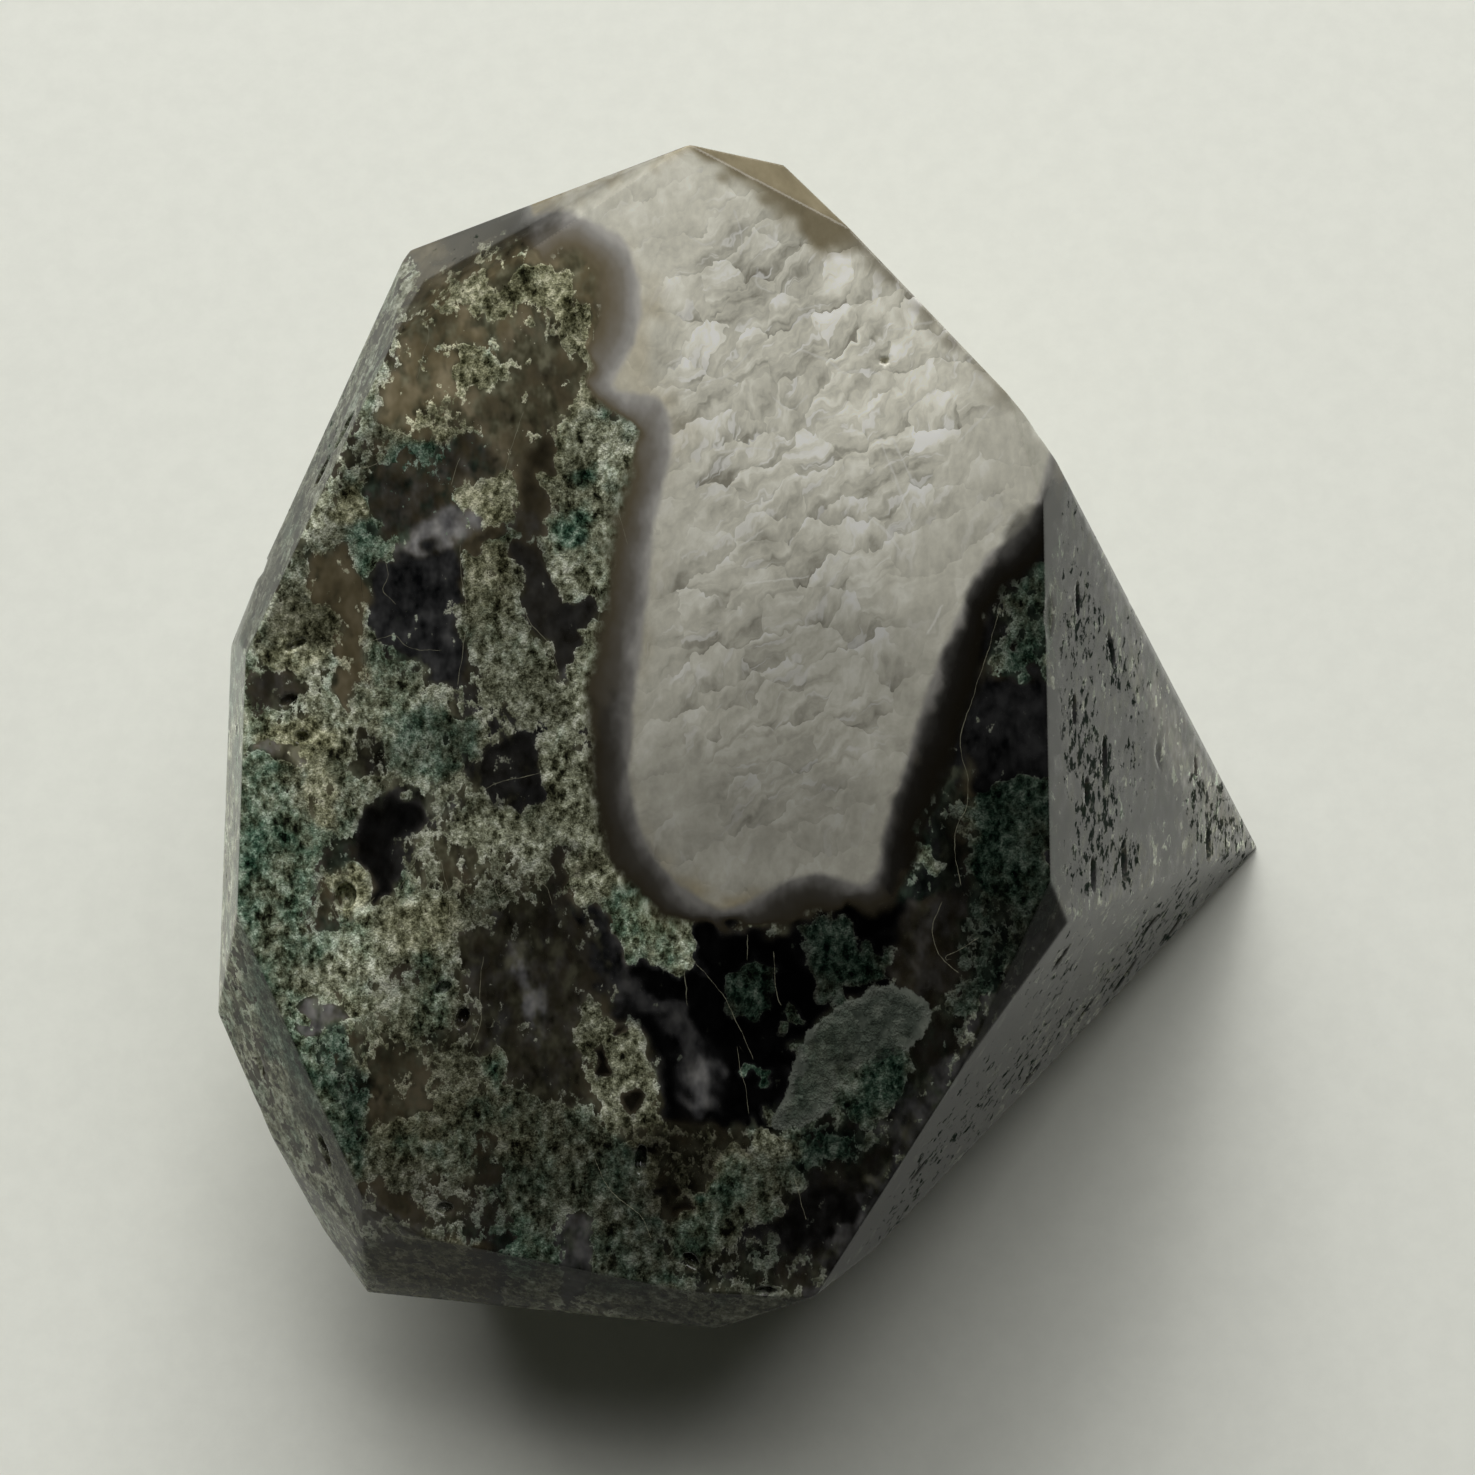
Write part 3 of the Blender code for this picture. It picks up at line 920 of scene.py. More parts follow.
    Zone(Spot(755, 1072, 6, 20, 90), Tone(moss=0.7, deep=0.9, green=1.0, light=0.3), 5.0),
    # Knobbly yellow-brown moss at the bottom
    Zone(Plot(((630, 1130), (690, 1122), (760, 1150), (720, 1190), (700, 1225), (660, 1215), (640, 1180))),
         Tone(moss=0.3, deep=0.85, brown=1.0, green=0.0, light=0.2), 8.0),
    Zone(Spot(640, 1150, 7, 20, 80), Tone(moss=0.0, deep=0.0, light=0.0), 4.0),
    Zone(Spot(655, 1195, 7, 16, 80), Tone(moss=0.0, deep=0.0, light=0.0, brown=0.3), 4.0),
    Zone(Spot(685, 1205, 12, 12), Tone(moss=0.0, deep=0.0, light=0.0), 4.0),
    Zone(Plot(((680, 1212), (722, 1160), (762, 1150), (795, 1180), (770, 1205), (742, 1242), (704, 1266),
               (668, 1238))), Tone(moss=1.0, green=0.6, light=0.68), 4.0),
    Zone(Spot(775, 1143, 20, 8, -25), Tone(moss=0.95, light=0.9, green=0.15), 3.0),
    # Right side between the quartz and the wall
    Zone(Plot(((1045, 505), (1000, 570), (965, 650), (935, 740), (905, 820), (885, 890), (915, 930),
               (960, 900), (955, 830), (968, 760), (1000, 670), (1050, 560))),
         Tone(moss=0.0, deep=0.3, brown=0.0, veil=0.12, light=0.1, green=0.6), 8.0),
    Zone(Plot(((900, 790), (955, 770), (968, 830), (958, 900), (905, 905), (885, 860))),
         Tone(moss=0.15, deep=0.85, green=0.75, light=0.26), 8.0),
    Zone(Spot(920, 858, 9, 30, 80), Tone(moss=0.85, green=0.6, light=0.55), 4.0),
    Zone(Plot(((1000, 602), (1025, 572), (1052, 572), (1052, 668), (1012, 682), (1002, 650))),
         Tone(moss=0.66, deep=0.9, green=0.8, light=0.16), 5.0),
    Zone(Spot(1018, 638, 6, 8), Tone(moss=0.0, deep=0.0, light=0.0, green=0.5), 3.0),
    Zone(Plot(((975, 692), (1000, 680), (1052, 674), (1052, 790), (992, 796), (968, 752))),
         Tone(moss=0.0, deep=0.0, light=0.2, brown=0.0, veil=0.05), 5.0),
    Zone(Plot(((985, 793), (1052, 785), (1052, 908), (1000, 902), (972, 860))),
         Tone(moss=1.0, deep=0.8, green=0.92, light=0.42), 4.0),
    Zone(Plot(((960, 900), (1050, 905), (1035, 960), (985, 1040), (930, 1060), (940, 990))),
         Tone(moss=0.55, deep=0.85, green=0.75, light=0.3), 10.0),
    Zone(Plot(((900, 922), (930, 900), (962, 905), (970, 935), (950, 990), (905, 1000), (886, 972))),
         Tone(moss=0.0, deep=0.4, brown=0.5, veil=0.4, light=0.42, green=0.3), 7.0),
    Zone(Plot(((930, 1010), (985, 1040), (960, 1090), (830, 1290), (800, 1290), (800, 1150), (850, 1110),
               (900, 1070))), Tone(moss=0.12, deep=0.6, green=0.5, light=0.24, veil=0.25, brown=0.3), 8.0),
    Zone(Plot(((845, 1078), (870, 1062), (910, 1055), (905, 1095), (875, 1120), (850, 1112))),
         Tone(moss=0.95, green=0.8, light=0.5), 4.0),
    Zone(Spot(830, 1150, 45, 16, 25), Tone(moss=0.7, green=0.85, light=0.3), 8.0),
    Zone(Spot(895, 1112, 38, 22, 30), Tone(veil=0.7, light=0.4, brown=0.0), 8.0),
    Zone(Plot(((742, 1245), (775, 1203), (800, 1180), (850, 1190), (850, 1240), (800, 1252))),
         Tone(moss=0.03, deep=0.2, light=0.14, veil=0.3, brown=0.1), 7.0),
    Zone(Plot(((690, 1275), (760, 1240), (830, 1260), (812, 1296), (720, 1300))),
         Tone(moss=0.4, deep=0.6, light=0.34, veil=0.4, green=0.5), 7.0),
    # Along the bottom
    Zone(Plot(((480, 1110), (560, 1100), (650, 1170), (650, 1250), (690, 1290), (600, 1300), (500, 1200))),
         Tone(moss=0.82, deep=0.6, light=0.33, green=0.6), 10.0),
    Zone(Spot(497, 1068, 14, 18), Tone(moss=1.0, light=0.75, green=0.45), 4.0),
    Zone(Spot(425, 1150, 45, 18, -20), Tone(moss=0.85, light=0.5, green=0.5), 8.0),
    Zone(Spot(480, 1140, 60, 26), Tone(moss=0.75, light=0.46, green=0.5), 10.0),
    Zone(Plot(((365, 1182), (420, 1200), (428, 1236), (385, 1218))),
         Tone(moss=0.0, brown=0.9, veil=0.3, light=0.34), 5.0),
    Zone(Plot(((358, 1190), (434, 1240), (362, 1250))),
         Tone(moss=0.3, veil=0.55, light=0.72, brown=0.5), 4.0),
    Zone(Plot(((362, 1250), (430, 1242), (485, 1250), (485, 1302), (372, 1294))),
         Tone(moss=0.5, deep=0.7, brown=1.0, green=0.1, light=0.42, veil=0.1), 5.0),
    Zone(Plot(((483, 1205), (500, 1180), (508, 1240), (506, 1305), (484, 1303))),
         Tone(moss=0.08, light=0.22, veil=0.3), 5.0),
    Zone(Plot(((558, 1215), (590, 1212), (592, 1290), (562, 1290))),
         Tone(moss=0.05, veil=0.75, light=0.42), 6.0),
    Zone(Plot(((540, 1298), (600, 1304), (650, 1312), (650, 1322), (540, 1312))),
         Tone(moss=0.4, veil=0.7, light=0.75), 4.0),
    # Chalcedony that the quartz lies in
    Zone(Plot(((520, 225), (600, 215), (660, 300), (680, 430), (660, 600), (640, 760), (660, 860),
               (760, 880), (860, 860), (870, 885), (800, 925), (700, 915), (600, 860), (570, 740),
               (600, 600), (620, 500), (640, 420), (590, 380), (590, 300), (520, 250))), Tone(rim=1.0), 6.0),
    # Painted light and shade: the colour is brightened at the left edge and darkened towards the bottom and
    # the lower right; the quartz gets a painted glow, brighter high up and dimmer low down, and the band at
    # its right is darkened
    Zone(Plot(((232, 720), (330, 700), (360, 850), (362, 1050), (300, 1070), (225, 960))),
         Tone(painted_light=1.5), 20.0),
    Zone(Plot(((460, 890), (560, 890), (592, 1000), (572, 1100), (470, 1110), (380, 1085), (400, 1045),
               (460, 1030))), Tone(painted_light=0.5), 18.0),
    Zone(Plot(((350, 1045), (480, 1060), (570, 1100), (640, 1160), (670, 1260), (650, 1340), (360, 1310))),
         Tone(painted_light=0.5), 24.0),
    Zone(Plot(((632, 1120), (760, 1130), (800, 1010), (900, 985), (1000, 900), (1070, 880), (1010, 1070),
               (840, 1310), (700, 1340), (640, 1290))), Tone(painted_light=0.32), 22.0),
    Zone(Plot(((960, 780), (1060, 780), (1060, 930), (950, 1000), (930, 900))), Tone(painted_light=0.22), 14.0),
    Zone(Plot(((795, 905), (905, 905), (905, 985), (740, 1040), (710, 1010), (720, 960))),
         Tone(painted_light=0.24), 12.0),
    Zone(Plot(((345, 1240), (440, 1250), (700, 1280), (840, 1270), (812, 1320), (745, 1350), (655, 1360),
               (430, 1330))), Tone(painted_light=0.6), 12.0),
    Zone(Spot(830, 680, 100, 90), Tone(painted_glow=0.62), 30.0),
    Zone(Spot(820, 380, 150, 190), Tone(stir=1.0), 30.0),
    Zone(Spot(780, 640, 110, 180), Tone(stir=0.8), 30.0),
    Zone(Spot(860, 330, 110, 120), Tone(painted_glow=1.3), 40.0),
    Zone(Spot(760, 420, 70, 60), Tone(painted_glow=1.12), 30.0),
    Zone(Spot(612, 780, 22, 90), Tone(painted_glow=0.56), 12.0),
    Zone(Spot(765, 815, 120, 70), Tone(painted_glow=0.47), 30.0),
    Zone(Plot(((1036, 500), (1058, 490), (1050, 570), (1010, 610), (985, 680), (955, 760), (930, 850),
               (884, 892), (890, 830), (908, 770), (925, 710), (943, 660), (965, 612), (990, 566))),
         Tone(rim=0.85, painted_glow=0.3), 4.0),
    # Smoky places between the moss at the lower left
    Zone(Plot(((468, 1150), (500, 1135), (512, 1200), (500, 1290), (470, 1290))),
         Tone(moss=0.3, deep=0.4, light=0.3, veil=0.3), 7.0),
    Zone(Plot(((545, 890), (590, 900), (622, 960), (600, 1015), (566, 960))),
         Tone(moss=0.14, deep=0.4, light=0.26, veil=0.25), 8.0),
    Zone(Spot(500, 775, 34, 24, -20), Tone(moss=0.12, deep=0.3, light=0.22, veil=0.15), 7.0),
    Zone(Spot(338, 1075, 22, 46, 24), Tone(moss=0.55, deep=0.7, light=0.3, green=0.9), 7.0),
    Zone(Spot(325, 900, 18, 40, 14), Tone(moss=0.3, deep=0.4, light=0.3, veil=0.3), 7.0),
    Zone(Spot(400, 980, 30, 14, 10), Tone(moss=0.4, deep=0.5, light=0.3, green=0.5), 6.0),
    Zone(Spot(455, 880, 24, 14, -24), Tone(moss=0.4, deep=0.5, light=0.34, brown=0.8), 6.0),
    # Painted glow on the quartz, brighter in two spots high up and dimmer along the top edge, and the brown
    # skin along the top edge
    Zone(Spot(905, 378, 60, 40), Tone(painted_glow=1.3, brown=0.0), 20.0),
    Zone(Spot(760, 275, 60, 70), Tone(painted_glow=1.12, brown=0.0), 20.0),
    Zone(Plot(((560, 200), (700, 150), (860, 240), (1030, 400), (1020, 560), (945, 690), (900, 880),
               (700, 890), (630, 780), (660, 560), (690, 430), (650, 380), (650, 280), (600, 220))),
         Tone(brown=0.12), 12.0),
    Zone(Plot(((684, 148), (712, 166), (752, 186), (790, 220), (838, 258), (900, 200), (790, 100),
               (690, 110))), Tone(painted_glow=0.62, brown=0.85, stir=0.0), 9.0),
    Zone(Plot(((850, 240), (900, 290), (960, 350), (1010, 405), (1050, 380), (900, 200))),
         Tone(painted_glow=0.62, brown=0.5), 12.0),
)

WALL_ZONES = (
    # Grey veil over the right wall, with a paler strip down its right side
    Zone(Plot(((1058, 450), (1120, 540), (1262, 850), (1180, 880), (1065, 905), (1056, 700))),
         Tone(moss=0.12, deep=0.5, green=0.5, light=0.46, brown=0.0, veil=0.5), 2.0),
    Zone(Plot(((1130, 640), (1190, 740), (1262, 850), (1200, 870), (1180, 800), (1150, 720))),
         Tone(moss=0.2, light=0.62, brown=0.45, veil=0.6), 4.0),
    Zone(Plot(((1065, 900), (1262, 855), (870, 1262), (800, 1300))),
         Tone(moss=0.2, deep=0.5, green=0.4, light=0.66, brown=0.1, veil=0.55), 2.0),
    # Moss with dark gaps on the left walls
    Zone(Plot(((405, 250), (330, 410), (215, 780), (210, 1020), (310, 1240), (380, 1310), (350, 1200),
               (240, 980), (236, 740), (262, 620), (345, 460), (400, 340))),
         Tone(moss=0.5, deep=0.3, green=0.4, light=1.0, brown=0.3, veil=0.1), 4.0),
    # Open streaks
    Zone(Spot(1085, 612, 16, 50), Tone(pits=0.8), 10.0),
    Zone(Spot(1112, 655, 12, 45, 10), Tone(pits=0.8), 8.0),
    Zone(Spot(1078, 720, 22, 50), Tone(pits=0.8), 10.0),
    Zone(Spot(1095, 790, 22, 60), Tone(pits=0.95), 10.0),
    Zone(Spot(1088, 860, 26, 40), Tone(pits=0.8), 10.0),
    Zone(Spot(1125, 860, 9, 34), Tone(pits=0.95), 6.0),
    Zone(Spot(1215, 820, 26, 50, 30), Tone(pits=0.85), 10.0),
    Zone(Plot(((1170, 890), (1220, 870), (1180, 935), (1130, 990), (1060, 1040), (1110, 960))),
         Tone(pits=0.75), 10.0),
    Zone(Plot(((980, 1080), (1060, 1010), (1080, 1030), (960, 1150), (880, 1220), (900, 1180))),
         Tone(pits=0.7), 10.0),
)

STRANDS: tuple[Outline, ...] = (
    ((572, 300), (581, 330), (582, 350), (590, 366), (587, 390), (592, 415)),
    ((622, 476), (617, 500), (620, 520), (627, 541)),
    ((595, 590), (600, 605), (598, 622)),
    ((525, 612), (532, 626), (548, 642), (556, 662)),
    ((460, 548), (462, 580), (466, 610), (463, 650), (458, 682)),
    ((385, 560), (388, 576), (383, 590), (393, 602)),
    ((375, 640), (395, 635), (405, 645), (420, 650), (438, 650)),
    ((362, 600), (366, 640), (370, 670), (372, 696)),
    ((350, 468), (372, 466), (383, 455), (397, 439), (415, 430), (432, 423)),
    ((459, 461), (452, 482)),
    ((420, 318), (429, 330), (418, 376)),
    ((522, 415), (517, 430), (504, 472)),
    ((485, 790), (500, 782), (536, 774)),
    ((483, 960), (480, 990), (481, 1020), (472, 1046)),
    ((428, 838), (412, 868), (400, 890), (394, 906)),
    ((500, 895), (520, 881), (545, 885), (551, 901)),
    ((683, 965), (686, 985), (687, 1002)),
    ((697, 965), (715, 985), (731, 1010), (745, 1040), (752, 1056)),
    ((1000, 610), (985, 660), (965, 720), (960, 745), (968, 780), (967, 806), (957, 825), (955, 850),
     (960, 882)),
    ((941, 905), (932, 930), (940, 955), (956, 971)),
    ((944, 956), (960, 950), (976, 939)),
    ((779, 1138), (790, 1152)),
    ((795, 1180), (805, 1216)),
    ((737, 1050), (740, 1070), (745, 1086), (748, 1110)),
    ((748, 938), (747, 957)),
    ((774, 955), (775, 985), (780, 1002)),
    ((375, 1215), (400, 1236), (428, 1241)),
    ((393, 1273), (415, 1291)),
    ((595, 1160), (610, 1190), (640, 1215), (650, 1235)),
    ((505, 860), (495, 885), (502, 905)),
    ((440, 860), (450, 900), (446, 930)),
    ((330, 905), (345, 925), (372, 900)),
)
CRACKS: tuple[Outline, ...] = (
    ((366, 692), (363, 640), (361, 560)),
    ((335, 1228), (345, 1248), (358, 1274)),
    ((1135, 680), (1160, 750), (1180, 800), (1197, 868)),
)
# Bright wisps in the quartz, in pixels: pale crack lines partly painted as glints
WISPS: tuple[Outline, ...] = (
    ((735, 212), (742, 236), (741, 252)),
    ((744, 247), (755, 232), (767, 225)),
    ((692, 238), (704, 245), (713, 242)),
    ((757, 270), (757, 284), (769, 291)),
    ((800, 309), (813, 306)),
    ((700, 383), (722, 378), (735, 368), (752, 348)),
    ((845, 373), (860, 371), (878, 373)),
    ((775, 398), (790, 411), (806, 397)),
    ((820, 419), (835, 415), (846, 404)),
    ((893, 440), (912, 480), (925, 505)),
    ((880, 440), (900, 490), (912, 525)),
    ((905, 411), (921, 399)),
    ((722, 452), (750, 448), (768, 450)),
    ((748, 583), (780, 580), (806, 577)),
    ((992, 408), (975, 425), (960, 441)),
    ((870, 518), (885, 530), (898, 548)),
    ((800, 350), (830, 362), (842, 372)),
    ((890, 330), (912, 326), (930, 322)),
)


@dataclass
class Markings:
    """Where the moss, the quartz and the other colours lie, as numbers at each surface point."""

    view: PhotoView
    quartz_flare: float = 0.16
    quartz_reach: float = 6.0
    rim_width: float = 2.4
    thin_rim: float = 0.5
    fade_depth: float = 9.0
    wall_depth: tuple[float, float] = (1.0, 3.0)
    soften: float = 1.5
    outline_margin: float = 150.0
    slab_margin: float = 30.0
    line_margin: float = 16.0
    line_depth: float = 12.0
    line_reach: float = 1.0
    painted_glow_rows: tuple[float, float] = (150.0, 980.0)
    wisp_count: int = 10
    wisp_across: tuple[float, float] = (640.0, 1010.0)
    wisp_down: tuple[float, float] = (190.0, 880.0)
    wisp_room: float = 16.0
    seed: int = 7

    def paint(self, points: np.ndarray) -> dict[str, np.ndarray]:
        """Works out every field of numbers that the finish reads.

        Args:
            points: Places on the sharp faces, in millimetres.

        Returns:
            One array of numbers for each field's name.
        """
        pixels = self.view.pixels(points)
        display = FACES[0]
        depth = np.clip(display.distance - points @ display.out, 0.0, None)
        scale = self.view.millimetres_per_pixel
        fields = self.zones(pixels, points, depth)
        quartz = depth_inside(pixels, smooth_line(QUARTZ_OUTLINE, True), self.outline_margin) * scale
        quartz -= self.quartz_flare * depth * (1.0 + 0.8 * ripple(points, 17.0, 21)) + 0.02 * depth
        fields["quartz"] = np.clip(quartz, -self.quartz_reach, self.quartz_reach)
        width = self.thin_rim + (self.rim_width - self.thin_rim) * fields.pop("rim")
        width *= 1.0 + 0.25 * ripple(points, 9.0, 22)
        fields["rim"] = np.clip(-quartz / width, -1.0, 3.0)
        slab = depth_inside(pixels, smooth_line(SLAB_OUTLINE, True), self.slab_margin) * scale
        fields["slab"] = np.clip(slab - 0.4 * depth, -1.0, 2.5)
        fields.update(self.lines(pixels, depth))
        return fields

    def zones(self, pixels: np.ndarray, points: np.ndarray, depth: np.ndarray) -> dict[str, np.ndarray]:
        """Lays the zones over each other, each with a soft edge, and fades them out with depth.

        Args:
            pixels: Where each point shows in the photograph.
            points: Places in millimetres.
            depth: Millimetres below the plane of the display face.

        Returns:
            The painted fields by name.
        """
        fields = self.ground(points)
        fields["painted_glow"] = self.painted_glow(pixels)
        walls = {name: values.copy() for name, values in fields.items()}
        wandering = pixels + self.shifts(points)
        self.lay(ZONES, wandering, fields)
        fade = ease(depth, 0.6 * self.fade_depth, 1.6 * self.fade_depth)
        for name, values in fields.items():
            if name not in ("painted_light", "painted_glow"):
                values += (walls[name] - values) * fade
        self.lay(WALL_ZONES, wandering, fields)
        fields["wall"] = ease(depth, *self.wall_depth)
        return fields

    def lay(self, zones: tuple[Zone, ...], pixels: np.ndarray, fields: dict[str, np.ndarray]) -> None:
        """Moves the fields towards each zone's tone by a smooth step of the depth in the zone.

        Args:
            zones: The zones, from the lowest up.
            pixels: Places in the photograph, one row each.
            fields: The fields, which are changed in place.
        """
        for zone in zones:
            soft = zone.soft * self.soften
            share = ease(zone.shape.depth(pixels, 3.0 * soft), -soft, soft)
            for name, value in vars(zone.tone).items():
                if value is not None:
                    fields[name] += (value - fields[name]) * share

    @staticmethod
    def shifts(points: np.ndarray) -> np.ndarray:
        """Shifts in pixels, across and down, that make the zones' outlines wander in two sizes of ripple."""
        sides = [
            6.0 * ripple(points, 3.2, 41 + side) + 3.5 * ripple(points, 1.3, 43 + side) for side in (0, 1)
        ]
        return np.stack(sides, axis=1)

    @staticmethod
    def ground(points: np.ndarray) -> dict[str, np.ndarray]:
        """Works out what the stone is like where no zone says otherwise, from slow random fields.

        Args:
            points: Places in millimetres.

        Returns:
            The fields by name. Each is a middle plus a reach times a ripple, held between two ends.
        """
        slow = ripple(points, 15.0, 31)
        slower = ripple(points, 24.0, 32)
        return {
            "moss": np.clip(0.62 + 0.22 * slow, 0.1, 0.95),
            "deep": np.clip(0.6 + 0.2 * slower, 0.0, 1.0),
            "green": np.clip(0.42 + 0.3 * ripple(points, 19.0, 33), 0.0, 1.0),
            "light": np.clip(0.5 + 0.14 * ripple(points, 11.0, 34), 0.1, 0.9),
            "brown": np.clip(0.4 + 0.35 * ripple(points, 21.0, 35), 0.0, 1.0),
            "veil": np.clip(0.18 + 0.22 * ripple(points, 13.0, 36), 0.0, 0.8),
            "pits": np.clip(0.25 + 0.25 * ripple(points, 10.0, 37), 0.0, 0.6),
            "rim": np.clip(0.5 + 0.4 * slow, 0.0, 1.0),
            "painted_light": np.clip(1.0 + 0.12 * slower, 0.6, 1.4),
            "stir": np.full(len(points), 0.3),
        }

    def painted_glow(self, pixels: np.ndarray) -> np.ndarray:
        """Painted light on the quartz: a factor on its colour that falls from bright at the top to dim at the
        bottom.
        """
        return 1.3 - 0.78 * ease(pixels[:, 1], *self.painted_glow_rows)

    def lines(self, pixels: np.ndarray, depth: np.ndarray) -> dict[str, np.ndarray]:
        """Signed offset and distance in millimetres from the nearest strand, crack or wisp.

        Args:
            pixels: Where each point shows in the photograph.
            depth: Millimetres below the plane of the display face.

        Returns:
            The fields line, line_gap and line_tone.
        """
        scale = self.view.millimetres_per_pixel
        reach = self.line_reach
        offset = np.full(len(pixels), reach)
        gap = np.full(len(pixels), reach)
        tone = np.zeros(len(pixels))
        shallow = depth < self.line_depth
        for lines, value in ((STRANDS, 1.0), (CRACKS, 0.0), (WISPS + self.random_wisps(), 1.0)):
            for points in lines:
                line = smooth_line(points, False)
                low, high = line.min(axis=0) - self.line_margin, line.max(axis=0) + self.line_margin
                near = np.flatnonzero(((pixels > low) & (pixels < high)).all(axis=1) & shallow)
                distance, side = beside_line(pixels[near], line[:-1], line[1:])
                closer = distance * scale < gap[near]
                chosen = near[closer]
                gap[chosen] = distance[closer] * scale
                offset[chosen] = np.clip(side[closer] * scale, -reach, reach)
                tone[chosen] = value
        return {"line": offset, "line_gap": gap, "line_tone": tone}

    def random_wisps(self) -> tuple[Outline, ...]:
        """Draws short curved bright lines in the quartz, pale cracks partly painted as glints, which lean
        more steeply towards the right.

        Returns:
            Three points of each line, in pixels.
        """
        draw = np.random.default_rng(self.seed)
        count = self.wisp_count
        left, right = self.wisp_across
        middle = np.stack([draw.uniform(left, right, count), draw.uniform(*self.wisp_down, count)], axis=1)
        lean = -20.0 - 50.0 * (middle[:, 0] - left) / (right - left) + draw.normal(0.0, 22.0, count)
        heading = np.stack([np.cos(np.radians(lean)), np.sin(np.radians(lean))], axis=1)
        half = draw.uniform(5.0, 15.0, count)[:, None] * heading
        bend = draw.normal(0.0, 0.22, (count, 1)) * np.stack([-half[:, 1], half[:, 0]], axis=1)
        kept = depth_inside(middle, smooth_line(QUARTZ_OUTLINE, True), self.outline_margin) > self.wisp_room
        triples = np.stack([middle - half, middle + bend, middle + half], axis=1)[kept]
        return tuple(tuple((x, y) for x, y in triple) for triple in triples.tolist())


@dataclass(frozen=True)
class Channels:
    """Three independent cloudy noises that one node gives, each around one half."""

    colour: Sockets
    parts: tuple[Sockets, Sockets, Sockets]

    def __getitem__(self, index: int) -> Sockets:
        """One of the three noises."""
        return self.parts[index]


class Bench:
    """Sets out the nodes of one material and wires them."""

    def __init__(self, name: str) -> None:
        """Starts an empty material.

        Args:
            name: The material's name.
        """
        self.material = bpy.data.materials.new(name)
        self.material.use_nodes = True
        self.tree = self.material.node_tree
        self.shader = self.tree.nodes["Principled BSDF"]

    def node(self, kind: str, inputs: dict[str | int, object] | None = None,
             **settings: object) -> bpy.types.Node:
        """Adds one node.

        Args:
            kind: The node's type name, without its leading words.
            inputs: Values or sockets for its inputs, by name or number.
            settings: Values for its own properties.

        Returns:
            The new node.
        """
        node = self.tree.nodes.new("ShaderNode" + kind)
        for name, value in settings.items():
            setattr(node, name, value)
        for name, value in (inputs or {}).items():
            self.set(node.inputs[name], value)
        return node

    def set(self, socket: Sockets, value: object) -> None:
        """Wires a socket to another one, or gives it a plain value.

        Args:
            socket: The input.
            value: Another node's output, or a number, vector or linear colour.
        """
        if isinstance(value, bpy.types.NodeSocket):
            self.tree.links.new(value, socket)
        else:
            socket.default_value = value

    def dress(self, inputs: dict[str, object]) -> bpy.types.Material:
        """Gives the shader's inputs their sockets or plain values.

        Args:
            inputs: What each input gets, by name.

        Returns:
            The finished material.
        """
        for name, value in inputs.items():
            self.set(self.shader.inputs[name], value)
        return self.material

    def field(self, name: str) -> Sockets:
        """A number that the mesh holds at each point."""
        return self.node("Attribute", attribute_name=name).outputs["Fac"]

    def place(self) -> Sockets:
        """The piece's own coordinates, in millimetres."""
        return self.scaled(self.node("TexCoord").outputs["Object"], 1.0 / MM)

    def scaled(self, vector: Sockets, factor: object) -> Sockets:
        """A vector or a colour times one factor."""
        return self.node("VectorMath", {0: vector, "Scale": factor}, operation="SCALE").outputs[0]

    def vector(self, operation: str, *values: object) -> Sockets:
        """One step of arithmetic on vectors."""
        return self.node("VectorMath", dict(enumerate(values)), operation=operation).outputs[0]

    def maths(self, operation: str, *values: object) -> Sockets:
        """One step of arithmetic."""
        return self.node("Math", dict(enumerate(values)), operation=operation).outputs[0]

    def add(self, *values: object) -> Sockets:
        """Sum of the values, with one node for each plus."""
        return functools.reduce(functools.partial(self.maths, "ADD"), values)

    def times(self, *values: object) -> Sockets:
        """Product of the values, with one node for each times."""
        return functools.reduce(functools.partial(self.maths, "MULTIPLY"), values)

    def swing(self, noise: Sockets, reach: float) -> Sockets:
        """Noise around one half, moved to swing about 0 and made larger by the reach."""
        return self.times(self.add(noise, -0.5), reach)

    def step(self, value: object, low: object, high: object, start: float = 0.0, end: float = 1.0) -> Sockets:
        """Smooth step of a value from low to high, brought to between start and end."""
        inputs = {"Value": value, "From Min": low, "From Max": high, "To Min": start, "To Max": end}
        return self.node("MapRange", inputs, interpolation_type="SMOOTHSTEP").outputs["Result"]

    def mix(self, share: object, first: object, second: object, blend: str = "MIX") -> Sockets:
        """Blend of two colours, whose sockets are the node's seventh and eighth."""
        inputs = {0: share, 6: first, 7: second}
        return self.node("Mix", inputs, data_type="RGBA", blend_type=blend, clamp_factor=True).outputs[2]

    def noise(self, place: Sockets, scale: float, detail: float, rough: float,
              span: str = "3D") -> bpy.types.Node:
        """Adds a node of cloudy noise around one half."""
        inputs = {"Vector": place, "Scale": scale, "Detail": detail, "Roughness": rough}
        return self.node("TexNoise", inputs, noise_dimensions=span)

    def clouds(self, place: Sockets, scale: float, detail: float, rough: float, span: str = "3D") -> Channels:
        """Makes three cloudy noises at once.

        Args:
            place: Coordinates.
            scale: How many lumps there are to a unit of the coordinates.
            detail: How many times finer noise is added.
            rough: Strength of the finer noise.
            span: Number of coordinates used, as the node names it.

        Returns:
            The noises.
        """
        colour = self.noise(place, scale, detail, rough, span).outputs["Color"]
        parts = self.node("SeparateColor", {0: colour}).outputs
        return Channels(colour, (parts[0], parts[1], parts[2]))

